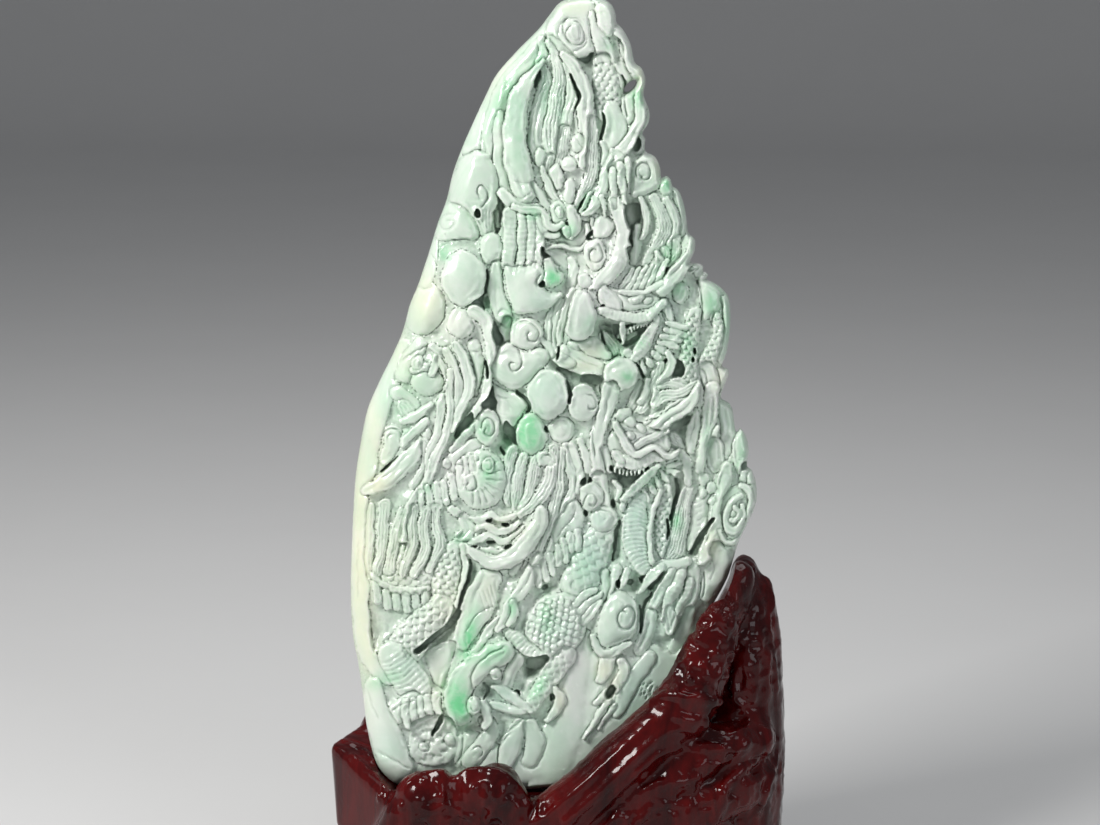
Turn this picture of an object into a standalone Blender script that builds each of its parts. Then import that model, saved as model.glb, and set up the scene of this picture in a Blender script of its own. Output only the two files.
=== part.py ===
"""Jade dragon carving on its carved wood stand.

Two separate pieces: an upright slab of jade, carved in deep relief on its
front, and a lacquered wood stand with a slot that the slab drops into.

Frame: metres, +Z up, the carved front faces -Y, +X is to the right of someone
looking at the front. The origin is the centre of the stand's flat underside.

The carving is laid out on a drafting grid: x runs to the right, y runs down,
and the middle of the sheet is (MID_X, MID_Y). One grid square is GRID metres.
The sheet lies in the slab's own plane, which leans back by LEAN.
"""
import math

import bpy
import bmesh
import numpy as np
from mathutils import Matrix, Vector

# ---------------------------------------------------------------- sizes
GRID = 0.46e-3            # one drafting square
MID_X, MID_Y = 550.0, 412.5
LEAN = math.radians(9.0)  # the slab leans back by this much
SLAB_Z = 0.232            # height of the sheet's middle over the table
REF_H = 0.0               # the sheet lies in the slab's mid-plane

BACK_DEPTH = 0.024        # the smooth back lies this far behind the mid-plane
FRONT_GROUND = 0.0065     # the lowest carved ground in front of the mid-plane
RELIEF_STEP = 2.5         # spacing of the relief, in drafting squares
JADE_RATIO = 0.042        # share of the relief's triangles that the solid keeps

STAND_FLOOR = 0.0
SLOT_GAP = 0.0007         # clearance between slab and slot
STAND_VOXEL = 0.0026
STAND_TRIS = 3300

EYE_RANGE = 1.30          # viewing distance used to place the stand's outline
EYE_TILT = math.radians(12.0)


def clear_scene():
    for ob in list(bpy.data.objects):
        bpy.data.objects.remove(ob, do_unlink=True)
    for block in (bpy.data.meshes, bpy.data.materials, bpy.data.curves):
        for item in list(block):
            block.remove(item)


clear_scene()

# ---------------------------------------------------------------- frame of the slab
AX_A = Vector((1.0, 0.0, 0.0))
AX_B = Vector((0.0, math.sin(LEAN), math.cos(LEAN)))
AX_H = Vector((0.0, -math.cos(LEAN), math.sin(LEAN)))
SLAB_MID = Vector((0.0, 0.0, SLAB_Z))


def slab_xyz(x, y, h):
    """Drafting position (x, y) and height h over the mid-plane, in metres."""
    a = (x - MID_X) * GRID
    b = (MID_Y - y) * GRID
    return SLAB_MID + AX_A * a + AX_B * b + AX_H * h


# ---------------------------------------------------------------- outline of the slab
LEFT_SIDE = [
    (592, -1), (575, 0), (560, 5), (549, 18), (538, 32), (517, 53), (497, 76),
    (486, 97), (472, 127), (462, 150), (453, 175), (447, 200), (438, 224),
    (430, 250), (419, 283), (410, 305), (403, 331), (392, 356), (380, 380),
    (368, 408), (361, 440), (355, 480), (352, 530), (350, 590), (352, 635),
    (357, 663), (361, 690), (366, 730), (375, 765), (388, 782), (402, 789),
    (440, 794), (490, 795), (530, 792),
]
RIGHT_SIDE = [
    (568, 786), (604, 762), (642, 728), (668, 703), (684, 676), (699, 650),
    (705, 625), (716, 603), (728, 578), (738, 550), (748, 525), (757, 500),
    (756, 480), (749, 468), (749, 450), (742, 430), (737, 432), (731, 406),
    (721, 396), (729, 373), (722, 364), (730, 335), (729, 300), (716, 284),
    (707, 272), (692, 262), (694, 240), (687, 225), (682, 200), (672, 185),
    (663, 177), (655, 160), (646, 152), (643, 134), (649, 113), (643, 97),
    (645, 80), (633, 62), (627, 40), (615, 20), (607, 3),
]
OUTLINE = LEFT_SIDE + RIGHT_SIDE
PIERCED = (629.5, 87.5, 7.5, 3.4, 45.0)   # the small hole near the top right edge


def spline(points, spacing, closed=False):
    """Catmull-Rom curve through rows of numbers, sampled about every spacing."""
    p = np.asarray(points, float)
    n = len(p)
    rows = []
    last = n if closed else n - 1
    for i in range(last):
        if closed:
            q = [p[(i + k) % n] for k in (-1, 0, 1, 2)]
        else:
            q = [p[max(i - 1, 0)], p[i], p[i + 1], p[min(i + 2, n - 1)]]
        steps = max(1, int(math.hypot(*(q[2] - q[1])[:2]) / spacing))
        for t in np.arange(steps) / steps:
            rows.append(0.5 * (2 * q[1] + (q[2] - q[0]) * t
                               + (2 * q[0] - 5 * q[1] + 4 * q[2] - q[3]) * t * t
                               + (3 * q[1] - q[0] - 3 * q[2] + q[3]) * t ** 3))
    if not closed:
        rows.append(p[-1])
    return np.array(rows)


# ---------------------------------------------------------------- the relief sheet
XS = np.arange(342.0, 768.0, RELIEF_STEP)
YS = np.arange(-8.0, 806.0, RELIEF_STEP)
GX, GY = np.meshgrid(XS, YS)


def polygon_distance(poly, gx, gy):
    """Signed distance to a closed outline, negative inside."""
    best = np.full(gx.shape, 1e9)
    inside = np.zeros(gx.shape, bool)
    n = len(poly)
    for i in range(n):
        ax, ay = poly[i]
        bx, by = poly[(i + 1) % n]
        ex, ey = bx - ax, by - ay
        ll = ex * ex + ey * ey + 1e-12
        t = np.clip(((gx - ax) * ex + (gy - ay) * ey) / ll, 0, 1)
        best = np.minimum(best, (gx - ax - t * ex) ** 2 + (gy - ay - t * ey) ** 2)
        if ay != by:
            cross = ((ay > gy) != (by > gy)) & (gx < ex * (gy - ay) / ey + ax)
            inside ^= cross
    best = np.sqrt(best)
    return np.where(inside, -best, best)


def ellipse_q(cx, cy, rx, ry, turn):
    c, s = math.cos(math.radians(turn)), math.sin(math.radians(turn))
    dx, dy = GX - cx, GY - cy
    return np.hypot((dx * c - dy * s) / rx, (dx * s + dy * c) / ry)


OUT_LINE = spline([(x, y) for x, y in OUTLINE], 6.0, closed=True)
EDGE = polygon_distance(OUT_LINE, GX, GY)
hx, hy, hrx, hry, hturn = PIERCED
HOLE = (1.0 - ellipse_q(hx, hy, hrx, hry, hturn)) * hry
SOLID = np.maximum(EDGE, HOLE)

RELIEF = np.full(GX.shape, FRONT_GROUND * 1000)    # millimetres over the mid-plane


def rounded(q, flat=2.0):
    return np.sqrt(np.clip(1 - np.clip(q, 0, 1) ** flat, 0, 1))


def band(points, crest, lift=0.8, flat=2.4):
    """A rounded band along a curve of (x, y, half-width) points."""
    global RELIEF
    c = spline(points, 3.0)
    best = np.full(GX.shape, 1e9)
    rad = np.ones(GX.shape)
    for i in range(len(c) - 1):
        ax, ay, ar = c[i]
        bx, by, br = c[i + 1]
        ex, ey = bx - ax, by - ay
        t = np.clip(((GX - ax) * ex + (GY - ay) * ey) / (ex * ex + ey * ey + 1e-9), 0, 1)
        d = np.hypot(GX - ax - t * ex, GY - ay - t * ey)
        near = d < best
        best = np.where(near, d, best)
        rad = np.where(near, ar + (br - ar) * t, rad)
    q = best / np.maximum(rad, 1.0)
    drop = lift * rad * GRID * 1000
    RELIEF = np.where(q < 1, crest - drop * (1 - rounded(q, flat)), RELIEF)


def boss(cx, cy, rx, ry, crest, turn=0.0, lift=0.8):
    """A domed boss over an ellipse."""
    global RELIEF
    q = ellipse_q(cx, cy, rx, ry, turn)
    drop = lift * min(rx, ry) * GRID * 1000
    RELIEF = np.where(q < 1, crest - drop * (1 - rounded(q)), RELIEF)


def pit(cx, cy, rx, ry, floor, turn=0.0):
    global RELIEF
    q = ellipse_q(cx, cy, rx, ry, turn)
    RELIEF = np.where(q < 1, np.minimum(RELIEF, floor + (RELIEF - floor) * q ** 4), RELIEF)


# ---------------------------------------------------------------- larger carving
# top: cloud cap, horns and mane of the upper dragon, its scaled neck
band([(545, 38, 10), (515, 72, 16), (495, 110, 18), (480, 150, 20)], 12)
band([(563, 34, 16), (575, 30, 26), (580, 40, 20)], 15)
boss(572, 35, 12, 15, 18)
boss(604, 20, 11, 17, 18)
band([(594, 22, 3), (602, 44, 9), (606, 58, 9)], 16)
band([(602, 66, 8), (609, 95, 14), (612, 130, 13), (608, 165, 11)], 13)
band([(540, 64, 3), (532, 78, 6), (520, 100, 11), (515, 130, 12), (520, 170, 12), (525, 195, 12)], 18)
band([(543, 68, 4), (540, 98, 8), (536, 130, 9), (540, 165, 7)], 14)
band([(550, 48, 4), (558, 75, 8), (554, 110, 9), (552, 160, 8)], 15)
band([(565, 58, 5), (574, 68, 7), (584, 100, 9), (587, 140, 8), (583, 178, 6)], 18)
band([(632, 42, 5), (635, 62, 6), (641, 90, 6), (641, 120, 6), (624, 148, 7), (606, 178, 7), (592, 208, 5)], 17)
boss(646, 115, 6, 15, 7)
boss(645, 172, 15, 19, 15)
boss(667, 185, 7, 9, 13)
# upper left: large cloud lobes and pearls
band([(474, 170, 17), (473, 190, 22), (480, 215, 16)], 16)
boss(458, 222, 20, 19, 13)
boss(492, 247, 13, 13, 16)
boss(424, 308, 19, 28, 14)
boss(464, 278, 23, 27, 19)
band([(497, 268, 6), (498, 290, 8), (503, 315, 10)], 13)
boss(461, 321, 14, 15, 18)
band([(474, 312, 7), (488, 328, 7), (491, 350, 5), (488, 385, 5), (479, 405, 4)], 18)
band([(472, 342, 8), (477, 362, 7), (474, 390, 6)], 13)
# centre: claw, palm, pearls
band([(500, 198, 5), (520, 204, 6), (538, 205, 6), (550, 224, 6), (566, 224, 8)], 18)
band([(566, 150, 13), (566, 185, 12), (575, 215, 9)], 16)
band([(590, 150, 6), (588, 185, 7), (578, 205, 5)], 15)
for k in range(4):
    fx = 510 + 9.6 * k
    band([(fx, 214, 5), (fx + 1, 234, 5), (fx - 1, 262, 5)], 18)
boss(527, 286, 22, 26, 19)
boss(553, 275, 11, 12, 17)
boss(595, 254, 12, 17, 17)
boss(606, 222, 12, 13, 15)
band([(612, 208, 8), (619, 230, 9), (616, 256, 9), (604, 275, 8), (588, 285, 4)], 19)
boss(584, 280, 7, 7, 18)
band([(566, 295, 6), (556, 320, 8), (550, 350, 7)], 12)
boss(526, 331, 15, 15, 16)
boss(515, 362, 23, 23, 17)
boss(508, 408, 14, 20, 14)
boss(548, 392, 21, 26, 20)
boss(579, 314, 18, 25, 22)
boss(583, 401, 16, 19, 17)
band([(562, 350, 10), (580, 362, 10), (602, 366, 6)], 15)
boss(595, 345, 14, 13, 14)
boss(621, 372, 17, 17, 21)
boss(530, 432, 17, 21, 16)
boss(562, 428, 13, 13, 14)
band([(612, 388, 12), (604, 412, 9), (597, 440, 7), (598, 472, 9)], 17)
# upper right dragon
band([(644, 198, 4), (646, 225, 5), (636, 258, 8)], 12)
band([(660, 198, 8), (663, 225, 8), (650, 262, 9)], 15)
band([(677, 192, 5), (680, 220, 6), (672, 250, 7)], 13)
band([(690, 236, 3), (686, 258, 6), (674, 276, 8), (660, 290, 8)], 20)
band([(616, 282, 10), (636, 282, 14), (655, 285, 10)], 17)
band([(604, 300, 9), (624, 306, 12), (645, 306, 12), (662, 302, 8)], 19)
band([(606, 322, 8), (622, 326, 8)], 15)
band([(656, 320, 6), (646, 338, 8), (634, 358, 5)], 17)
band([(672, 328, 12), (664, 345, 11), (648, 360, 7)], 13)
boss(680, 290, 9, 13, 15)
band([(703, 280, 6), (711, 298, 11), (706, 316, 6)], 14)
band([(694, 322, 9), (689, 345, 12), (690, 372, 9)], 15)
band([(718, 318, 8), (722, 338, 9), (712, 365, 9), (714, 392, 8)], 11)
# middle right dragon
band([(660, 364, 8), (650, 392, 9), (640, 412, 8)], 13)
band([(640, 384, 6), (630, 404, 8)], 9)
boss(624, 415, 9, 9, 17)
band([(660, 388, 7), (678, 388, 9), (697, 384, 4)], 16)
band([(664, 412, 4), (678, 403, 6), (692, 394, 4)], 14)
band([(648, 430, 8), (668, 418, 7), (686, 404, 6), (699, 384, 3)], 20)
band([(614, 426, 6), (634, 434, 12), (652, 436, 8)], 18)
band([(616, 424, 4), (628, 446, 4), (645, 450, 4), (660, 450, 4), (680, 450, 3)], 21)
band([(610, 456, 7), (634, 460, 9), (654, 456, 6)], 18)
band([(654, 468, 5), (638, 482, 5), (622, 496, 4)], 18)
band([(622, 502, 6), (645, 490, 7), (668, 474, 6)], 14)
band([(712, 384, 8), (709, 418, 8), (701, 452, 5), (699, 470, 4)], 14)
band([(695, 408, 3), (692, 428, 8), (690, 448, 5)], 12)
band([(722, 406, 6), (727, 430, 8), (724, 456, 7)], 8)
boss(741, 452, 8, 23, 12)
boss(715, 455, 10, 20, 10)
band([(727, 468, 6), (720, 495, 7), (716, 530, 8), (706, 556, 7)], 14)
boss(736, 512, 17, 29, 13)
boss(748, 478, 7, 8, 9)
# large body on the right, rock edge and claw
band([(640, 502, 9), (634, 525, 13), (636, 552, 12), (645, 570, 9)], 16)
band([(664, 492, 5), (662, 520, 10), (665, 550, 10)], 14)
band([(688, 490, 7), (682, 520, 9), (676, 552, 10)], 12)
band([(706, 490, 7), (700, 515, 9), (692, 542, 5)], 11)
band([(724, 560, 9), (712, 580, 10), (704, 600, 6)], 10)
band([(694, 566, 7), (690, 590, 9), (684, 612, 5)], 12)
band([(672, 576, 6), (660, 594, 6), (650, 614, 4)], 15)
band([(684, 578, 6), (674, 600, 8), (670, 628, 5)], 14)
# cloud, ridge and lower right
boss(617, 622, 21, 30, 18, 25)
band([(595, 640, 4), (606, 655, 6), (622, 645, 6)], 14)
boss(608, 668, 9, 12, 14)
band([(622, 665, 6), (619, 684, 5), (600, 703, 3)], 14)
band([(604, 708, 4), (592, 726, 4), (584, 738, 2)], 11)
band([(652, 658, 9), (636, 682, 10), (618, 712, 6)], 12)
band([(583, 640, 9), (575, 690, 12), (566, 745, 20)], 11)
# left dragon: mane, tusk, muzzle, shell
band([(440, 348, 10), (458, 362, 12), (462, 390, 10), (452, 420, 7)], 15)
boss(426, 380, 17, 15, 14)
band([(415, 352, 6), (402, 368, 6), (390, 385, 6)], 12)
band([(446, 392, 8), (440, 430, 8), (430, 470, 7), (410, 502, 7), (405, 540, 6)], 14)
band([(432, 403, 4), (418, 413, 6), (402, 420, 4)], 15)
band([(422, 444, 7), (407, 461, 10), (390, 477, 9), (366, 491, 5)], 16)
band([(392, 436, 8), (388, 452, 7), (380, 464, 4)], 12)
boss(487, 425, 12, 18, 18)
band([(436, 470, 8), (456, 462, 10), (474, 446, 7)], 15)
boss(479, 477, 26, 31, 18)
band([(424, 494, 8), (440, 494, 11), (456, 480, 10)], 14)
for k in range(5):
    band([(436 - 14 * k, 508, 6), (430 - 12 * k, 530, 6), (424 - 11 * k, 560, 5)], 12.5 - 0.5 * k)
band([(462, 520, 7), (468, 532, 7), (454, 542, 5)], 12)
# middle dragon: long horn, mane, wing
band([(464, 543, 3), (482, 557, 6), (506, 560, 8), (526, 544, 10), (540, 520, 8)], 20)
band([(452, 510, 4), (478, 520, 6), (504, 522, 6), (524, 512, 5)], 15)
band([(505, 478, 10), (530, 468, 12), (548, 455, 8)], 11)
band([(552, 450, 8), (545, 485, 9), (524, 508, 8)], 15)
band([(562, 452, 8), (556, 495, 8), (545, 535, 8), (536, 556, 7)], 18)
band([(572, 460, 5), (570, 492, 6), (560, 512, 5)], 16)
boss(572, 513, 11, 18, 13)
band([(574, 534, 6), (560, 552, 7), (542, 572, 7)], 12)
boss(592, 494, 12, 14, 18)
boss(603, 517, 14, 13, 16)
band([(536, 562, 8), (524, 588, 8), (508, 612, 6), (497, 630, 3)], 17)
band([(602, 528, 12), (590, 555, 18), (575, 588, 20)], 14)
boss(549, 624, 40, 31, 18, 10)
band([(509, 632, 7), (522, 644, 9), (537, 652, 7)], 16)
band([(568, 655, 11), (552, 675, 11), (536, 704, 8)], 15)
boss(552, 708, 12, 14, 12)
band([(515, 660, 9), (506, 682, 6)], 13)
# lower left dragon body, lingzhi and ruyi scroll
boss(408, 563, 42, 27, 14)
band([(376, 588, 7), (392, 598, 7), (410, 600, 7), (426, 596, 6)], 12)
band([(452, 546, 9), (448, 575, 14), (442, 602, 12)], 15)
band([(438, 608, 12), (422, 626, 17), (402, 642, 19), (392, 662, 16)], 15)
band([(392, 660, 15), (404, 680, 17), (420, 702, 13)], 15)
band([(412, 704, 12), (396, 714, 10), (386, 728, 4)], 14)
band([(364, 560, 10), (361, 600, 10), (364, 640, 10), (376, 670, 8), (394, 684, 4)], 12)
band([(374, 700, 13), (382, 735, 15), (394, 768, 14)], 11)
band([(490, 578, 14), (480, 604, 16), (468, 630, 12)], 16)
band([(498, 655, 15), (478, 664, 15), (463, 686, 14), (461, 712, 13)], 20)
boss(475, 704, 6, 10, 21)
boss(486, 719, 7, 12, 18)
band([(492, 742, 10), (478, 752, 9)], 12)
band([(516, 734, 9), (508, 758, 9)], 13)
# deep undercuts
pit(568, 366, 8, 6, -4, -30)
pit(591, 377, 11, 4, -6, -8)
pit(478, 301, 8, 5, -4, 40)
pit(497, 338, 4, 12, -4)
pit(498, 218, 4, 15, 0)
pit(509, 326 + 105, 10, 5, -3, 40)
pit(608, 329, 9, 3.5, -3, -20)
pit(538, 663, 13, 5, -5, 8)
pit(553, 697, 5, 5, -3)
pit(516, 696, 3, 5, -3)
pit(651, 580, 9, 5, -3, 10)
pit(682, 422, 7, 4, -3, 40)
pit(674, 500, 4, 14, 0, -15)
pit(614, 545, 4, 18, 1, -20)
pit(478, 211, 3, 5, -4)
pit(602, 128, 3, 12, 2)
pit(633, 144, 5, 7, 1)

# ---------------------------------------------------------------- slab body
def soften(f, times):
    for _ in range(times):
        g = f.copy()
        g[1:-1, 1:-1] = (f[1:-1, 1:-1] * 4 + f[:-2, 1:-1] + f[2:, 1:-1]
                         + f[1:-1, :-2] + f[1:-1, 2:]) / 8
        f = g
    return f


def rim(dist, radius):
    t = np.clip(dist / radius, 0, 1)
    return np.sqrt(np.clip(1 - (1 - t) ** 2, 0, 1))


RELIEF = soften(RELIEF, 2)
DEPTH_IN = np.maximum(-SOLID, 0)
OVER_EDGE = np.maximum(-EDGE, 0)
# the left flank is a smooth water-worn shoulder, the right side is carved up to the edge
SIDE = np.clip((GX - (470 - 0.05 * GY)) / 90.0, 0, 1)
FRONT_RIM = 20.0 * (1 - SIDE) + 6.0 * SIDE
BULGE = 4.0 * np.exp(-((GX - 555) / 120.0) ** 2 - ((GY - 430) / 300.0) ** 2) - 2.0
FRONT = rim(DEPTH_IN, FRONT_RIM) * (RELIEF + BULGE)
BROAD = np.exp(-((GX - 550) / 190.0) ** 2 - ((GY - 430) / 430.0) ** 2)
BACK = rim(OVER_EDGE, 42.0) * BACK_DEPTH * 1000 * (0.55 + 0.45 * BROAD)
BACK = BACK * rim(np.maximum(-HOLE, 0), 9.0)


def slab_mesh(name):
    """Closed mesh between the carved front and the smooth back.

    The sheet is cut along the outline, and both sides share the cut's points,
    which lie on the mid-plane."""
    sd = SOLID.copy()
    near = np.abs(sd) < 0.22 * RELIEF_STEP
    sd[near] = np.where(sd[near] < 0, -0.22, 0.22) * RELIEF_STEP
    inside = sd < 0
    ny, nx = sd.shape
    index = -np.ones((2, ny, nx), int)
    verts = []
    for side, high in ((0, FRONT), (1, -BACK)):
        for j, i in np.argwhere(inside):
            index[side, j, i] = len(verts)
            verts.append(slab_xyz(GX[j, i], GY[j, i], high[j, i] * 1e-3))
    shared = {}

    def crossing(j0, i0, j1, i1):
        key = (min((j0, i0), (j1, i1)), max((j0, i0), (j1, i1)))
        if key not in shared:
            a, b = sd[j0, i0], sd[j1, i1]
            t = a / (a - b)
            shared[key] = len(verts)
            verts.append(slab_xyz(GX[j0, i0] + t * (GX[j1, i1] - GX[j0, i0]),
                                  GY[j0, i0] + t * (GY[j1, i1] - GY[j0, i0]), 0.0))
        return shared[key]

    faces = []
    touched = inside[:-1, :-1] | inside[1:, :-1] | inside[:-1, 1:] | inside[1:, 1:]
    for j, i in np.argwhere(touched):
        ring = [(j, i), (j, i + 1), (j + 1, i + 1), (j + 1, i)]
        inn = [inside[c] for c in ring]
        if sum(inn) == 2 and inn[0] == inn[2]:
            cells = []
            for k in range(4):
                if inn[k]:
                    cells.append([("x", k, (k - 1) % 4), ("v", k), ("x", k, (k + 1) % 4)])
        else:
            loop = []
            for k in range(4):
                k2 = (k + 1) % 4
                if inn[k]:
                    loop.append(("v", k))
                if inn[k] != inn[k2]:
                    loop.append(("x", k, k2))
            cells = [loop]
        for loop in cells:
            for side in (0, 1):
                poly = []
                for item in loop:
                    if item[0] == "v":
                        poly.append(index[(side,) + ring[item[1]]])
                    else:
                        poly.append(crossing(*ring[item[1]], *ring[item[2]]))
                if side == 0:
                    poly.reverse()
                faces.append(poly)
    mesh = bpy.data.meshes.new(name)
    mesh.from_pydata([tuple(v) for v in verts], [], faces)
    mesh.update()
    return mesh


def material(name, colour, rough, metal=0.0):
    mat = bpy.data.materials.new(name)
    mat.use_nodes = True
    shader = mat.node_tree.nodes["Principled BSDF"]
    shader.inputs["Base Color"].default_value = (*colour, 1.0)
    shader.inputs["Roughness"].default_value = rough
    shader.inputs["Metallic"].default_value = metal
    return mat


PARTS = bpy.data.collections.new("jade_dragon_carving")
CUTTERS = bpy.data.collections.new("cutters")
bpy.context.scene.collection.children.link(PARTS)
bpy.context.scene.collection.children.link(CUTTERS)


def frozen(ob, name):
    """The object's evaluated shape as a new plain object."""
    deps = bpy.context.evaluated_depsgraph_get()
    mesh = bpy.data.meshes.new_from_object(ob.evaluated_get(deps))
    new = bpy.data.objects.new(name, mesh)
    new.matrix_world = ob.matrix_world
    bpy.data.objects.remove(ob, do_unlink=True)
    return new


def tidy(ob, dist):
    bm = bmesh.new()
    bm.from_mesh(ob.data)
    bmesh.ops.triangulate(bm, faces=bm.faces)
    bmesh.ops.dissolve_degenerate(bm, dist=dist, edges=bm.edges)
    bmesh.ops.triangulate(bm, faces=bm.faces)
    bmesh.ops.recalc_face_normals(bm, faces=bm.faces)
    bm.to_mesh(ob.data)
    bm.free()


jade = bpy.data.objects.new("jade_raw", slab_mesh("jade_raw"))
PARTS.objects.link(jade)
tidy(jade, 1e-7)
thin = jade.modifiers.new("thin", "DECIMATE")
thin.decimate_type = "COLLAPSE"
thin.ratio = JADE_RATIO
bpy.context.view_layer.update()
jade = frozen(jade, "jade_carving")
PARTS.objects.link(jade)
tidy(jade, 1e-6)
jade.data.materials.clear()
jade.data.materials.append(material("jade_green", (0.62, 0.71, 0.62), 0.22))

# ---------------------------------------------------------------- the stand
AIM = slab_xyz(MID_X, MID_Y, REF_H)
SIGHT = Vector((0.0, math.cos(EYE_TILT), -math.sin(EYE_TILT)))
UPWARD = Vector((0.0, math.sin(EYE_TILT), math.cos(EYE_TILT)))
SQUARES = EYE_RANGE / GRID


def stand_xyz(x, y, depth):
    """Point seen at drafting position (x, y) that stands at world Y = depth."""
    k = (MID_Y - y) / SQUARES
    dy = depth - AIM.y
    c, s = math.cos(EYE_TILT), math.sin(EYE_TILT)
    dz = (k * (EYE_RANGE + dy * c) - dy * s) / (c + k * s)
    rng = EYE_RANGE + dy * c - dz * s
    return Vector(((x - MID_X) / SQUARES * rng, depth, AIM.z + dz))


def hull(bm, points):
    made = [bm.verts.new(p) for p in points]
    out = bmesh.ops.convex_hull(bm, input=made)
    junk = [v for v in out["geom_interior"] if isinstance(v, bmesh.types.BMVert)]
    if junk:
        bmesh.ops.delete(bm, geom=junk, context="VERTS")


BALL = [Vector((math.cos(2 * math.pi * k / 8) * math.cos(e), math.sin(2 * math.pi * k / 8) * math.cos(e), math.sin(e)))
        for e in (-1.1, -0.4, 0.4, 1.1) for k in range(8)] + [Vector((0, 0, 1)), Vector((0, 0, -1))]


def limb(bm, path):
    """Rounded limb through (point, radius) pairs; radius may be (rx, ry, rz)."""
    sized = []
    for p, r in path:
        r3 = Vector((r, r, r)) if isinstance(r, float) else Vector(r)
        sized.append([p + Vector((b.x * r3.x, b.y * r3.y, b.z * r3.z)) for b in BALL])
    for one, two in zip(sized, sized[1:]):
        hull(bm, one + two)
    if len(sized) == 1:
        hull(bm, sized[0])


def stand_shapes(bm):
    s = stand_xyz
    # foot: a low flared plinth with a waist above it
    ring = [(math.cos(2 * math.pi * k / 28), math.sin(2 * math.pi * k / 28)) for k in range(28)]

    def disc(rx, ry, z):
        return [Vector((0.004 + rx * cx, 0.001 + ry * cy, z)) for cx, cy in ring]

    hull(bm, disc(0.092, 0.057, -0.004) + disc(0.092, 0.057, 0.006) + disc(0.088, 0.053, 0.011))
    hull(bm, disc(0.086, 0.051, 0.008) + disc(0.083, 0.048, 0.018))
    hull(bm, disc(0.083, 0.048, 0.016) + disc(0.088, 0.053, 0.030) + disc(0.086, 0.050, 0.044))
    # left horn: a wedge with a sharp upper rim and a smooth face to the left
    hull(bm, [s(331, 745, -0.012), s(333, 752, 0.016), s(366, 722, 0.016), s(372, 728, 0.030),
              s(394, 789, -0.044), s(402, 823, -0.057), s(337, 826, -0.014), s(338, 826, 0.020),
              Vector((-0.084, -0.008, 0.022)), Vector((-0.066, -0.047, 0.022)), Vector((-0.080, 0.034, 0.024)),
              s(396, 770, 0.034), s(392, 756, 0.012)])
    # bosses at the front
    limb(bm, [(s(424, 796, -0.050), (0.0140, 0.011, 0.0120)), (s(430, 850, -0.044), (0.018, 0.014, 0.018))])
    limb(bm, [(s(441, 788, -0.052), (0.0060, 0.009, 0.0095)), (s(446, 840, -0.046), (0.012, 0.012, 0.012))])
    limb(bm, [(s(470, 790, -0.051), (0.0080, 0.009, 0.0110)), (s(474, 840, -0.046), (0.012, 0.012, 0.012))])
    limb(bm, [(s(496, 789, -0.051), (0.0125, 0.012, 0.0120)), (s(512, 812, -0.051), (0.0100, 0.010, 0.0100)),
              (s(500, 850, -0.044), (0.020, 0.014, 0.018))])
    limb(bm, [(s(402, 812, -0.050), (0.0080, 0.008, 0.0080)), (s(392, 850, -0.042), (0.012, 0.012, 0.012))])
    # ramp along the slab's lower right edge
    limb(bm, [(s(544, 824, -0.050), (0.012, 0.010, 0.012)), (s(585, 794, -0.050), (0.012, 0.012, 0.013)),
              (s(626, 758, -0.047), (0.013, 0.013, 0.014)), (s(661, 728, -0.043), (0.013, 0.013, 0.014)),
              (s(688, 698, -0.040), (0.014, 0.014, 0.014)), (s(707, 655, -0.034), (0.012, 0.013, 0.013)),
              (s(722, 616, -0.027), (0.010, 0.012, 0.012)), (s(740, 580, -0.019), (0.007, 0.010, 0.009))])
    # lower ridges of the right front
    limb(bm, [(s(560, 860, -0.046), (0.016, 0.012, 0.016)), (s(620, 820, -0.048), (0.014, 0.011, 0.013)),
              (s(672, 775, -0.044), (0.012, 0.011, 0.011)), (s(715, 745, -0.038), (0.013, 0.012, 0.010)),
              (s(755, 738, -0.026), (0.010, 0.012, 0.009))])
    limb(bm, [(s(610, 880, -0.044), (0.018, 0.012, 0.018)), (s(668, 815, -0.044), (0.016, 0.012, 0.015)),
              (s(725, 785, -0.036), (0.016, 0.013, 0.014)), (s(755, 780, -0.022), (0.010, 0.014, 0.012))])
    # tower on the right, with a back that rises beside the slab
    limb(bm, [(s(745, 572, 0.0), (0.006, 0.014, 0.008)), (s(748, 610, -0.002), (0.011, 0.020, 0.013)),
              (s(744, 660, -0.004), (0.016, 0.024, 0.016)), (s(738, 712, -0.002), (0.020, 0.029, 0.018)),
              (s(735, 770, 0.0), (0.024, 0.034, 0.020)), (s(720, 840, 0.0), (0.030, 0.040, 0.024))])
    limb(bm, [(s(765, 590, -0.004), (0.0035, 0.006, 0.007)), (s(768, 640, -0.002), (0.006, 0.012, 0.014)),
              (s(769, 700, 0.0), (0.007, 0.018, 0.016)), (s(764, 752, 0.0), (0.010, 0.022, 0.014))])
    # wall behind the slab, left to right, in low rounded swells
    limb(bm, [(Vector((-0.078, 0.020, 0.062)), (0.016, 0.018, 0.024)), (Vector((-0.050, 0.030, 0.056)), (0.020, 0.020, 0.028)),
              (Vector((-0.014, 0.033, 0.050)), (0.022, 0.020, 0.030)), (Vector((0.022, 0.033, 0.054)), (0.022, 0.020, 0.032)),
              (Vector((0.056, 0.029, 0.066)), (0.020, 0.020, 0.036)), (Vector((0.082, 0.016, 0.080)), (0.016, 0.022, 0.040))])
    # front wall under the bosses, and the wood under the slab
    limb(bm, [(Vector((-0.060, -0.036, 0.036)), (0.018, 0.016, 0.018)), (Vector((-0.020, -0.042, 0.036)), (0.020, 0.015, 0.018)),
              (Vector((0.024, -0.042, 0.036)), (0.020, 0.015, 0.018)), (Vector((0.066, -0.034, 0.040)), (0.020, 0.016, 0.022))])
    hull(bm, disc(0.080, 0.040, 0.030) + disc(0.078, 0.038, 0.060))
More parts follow.
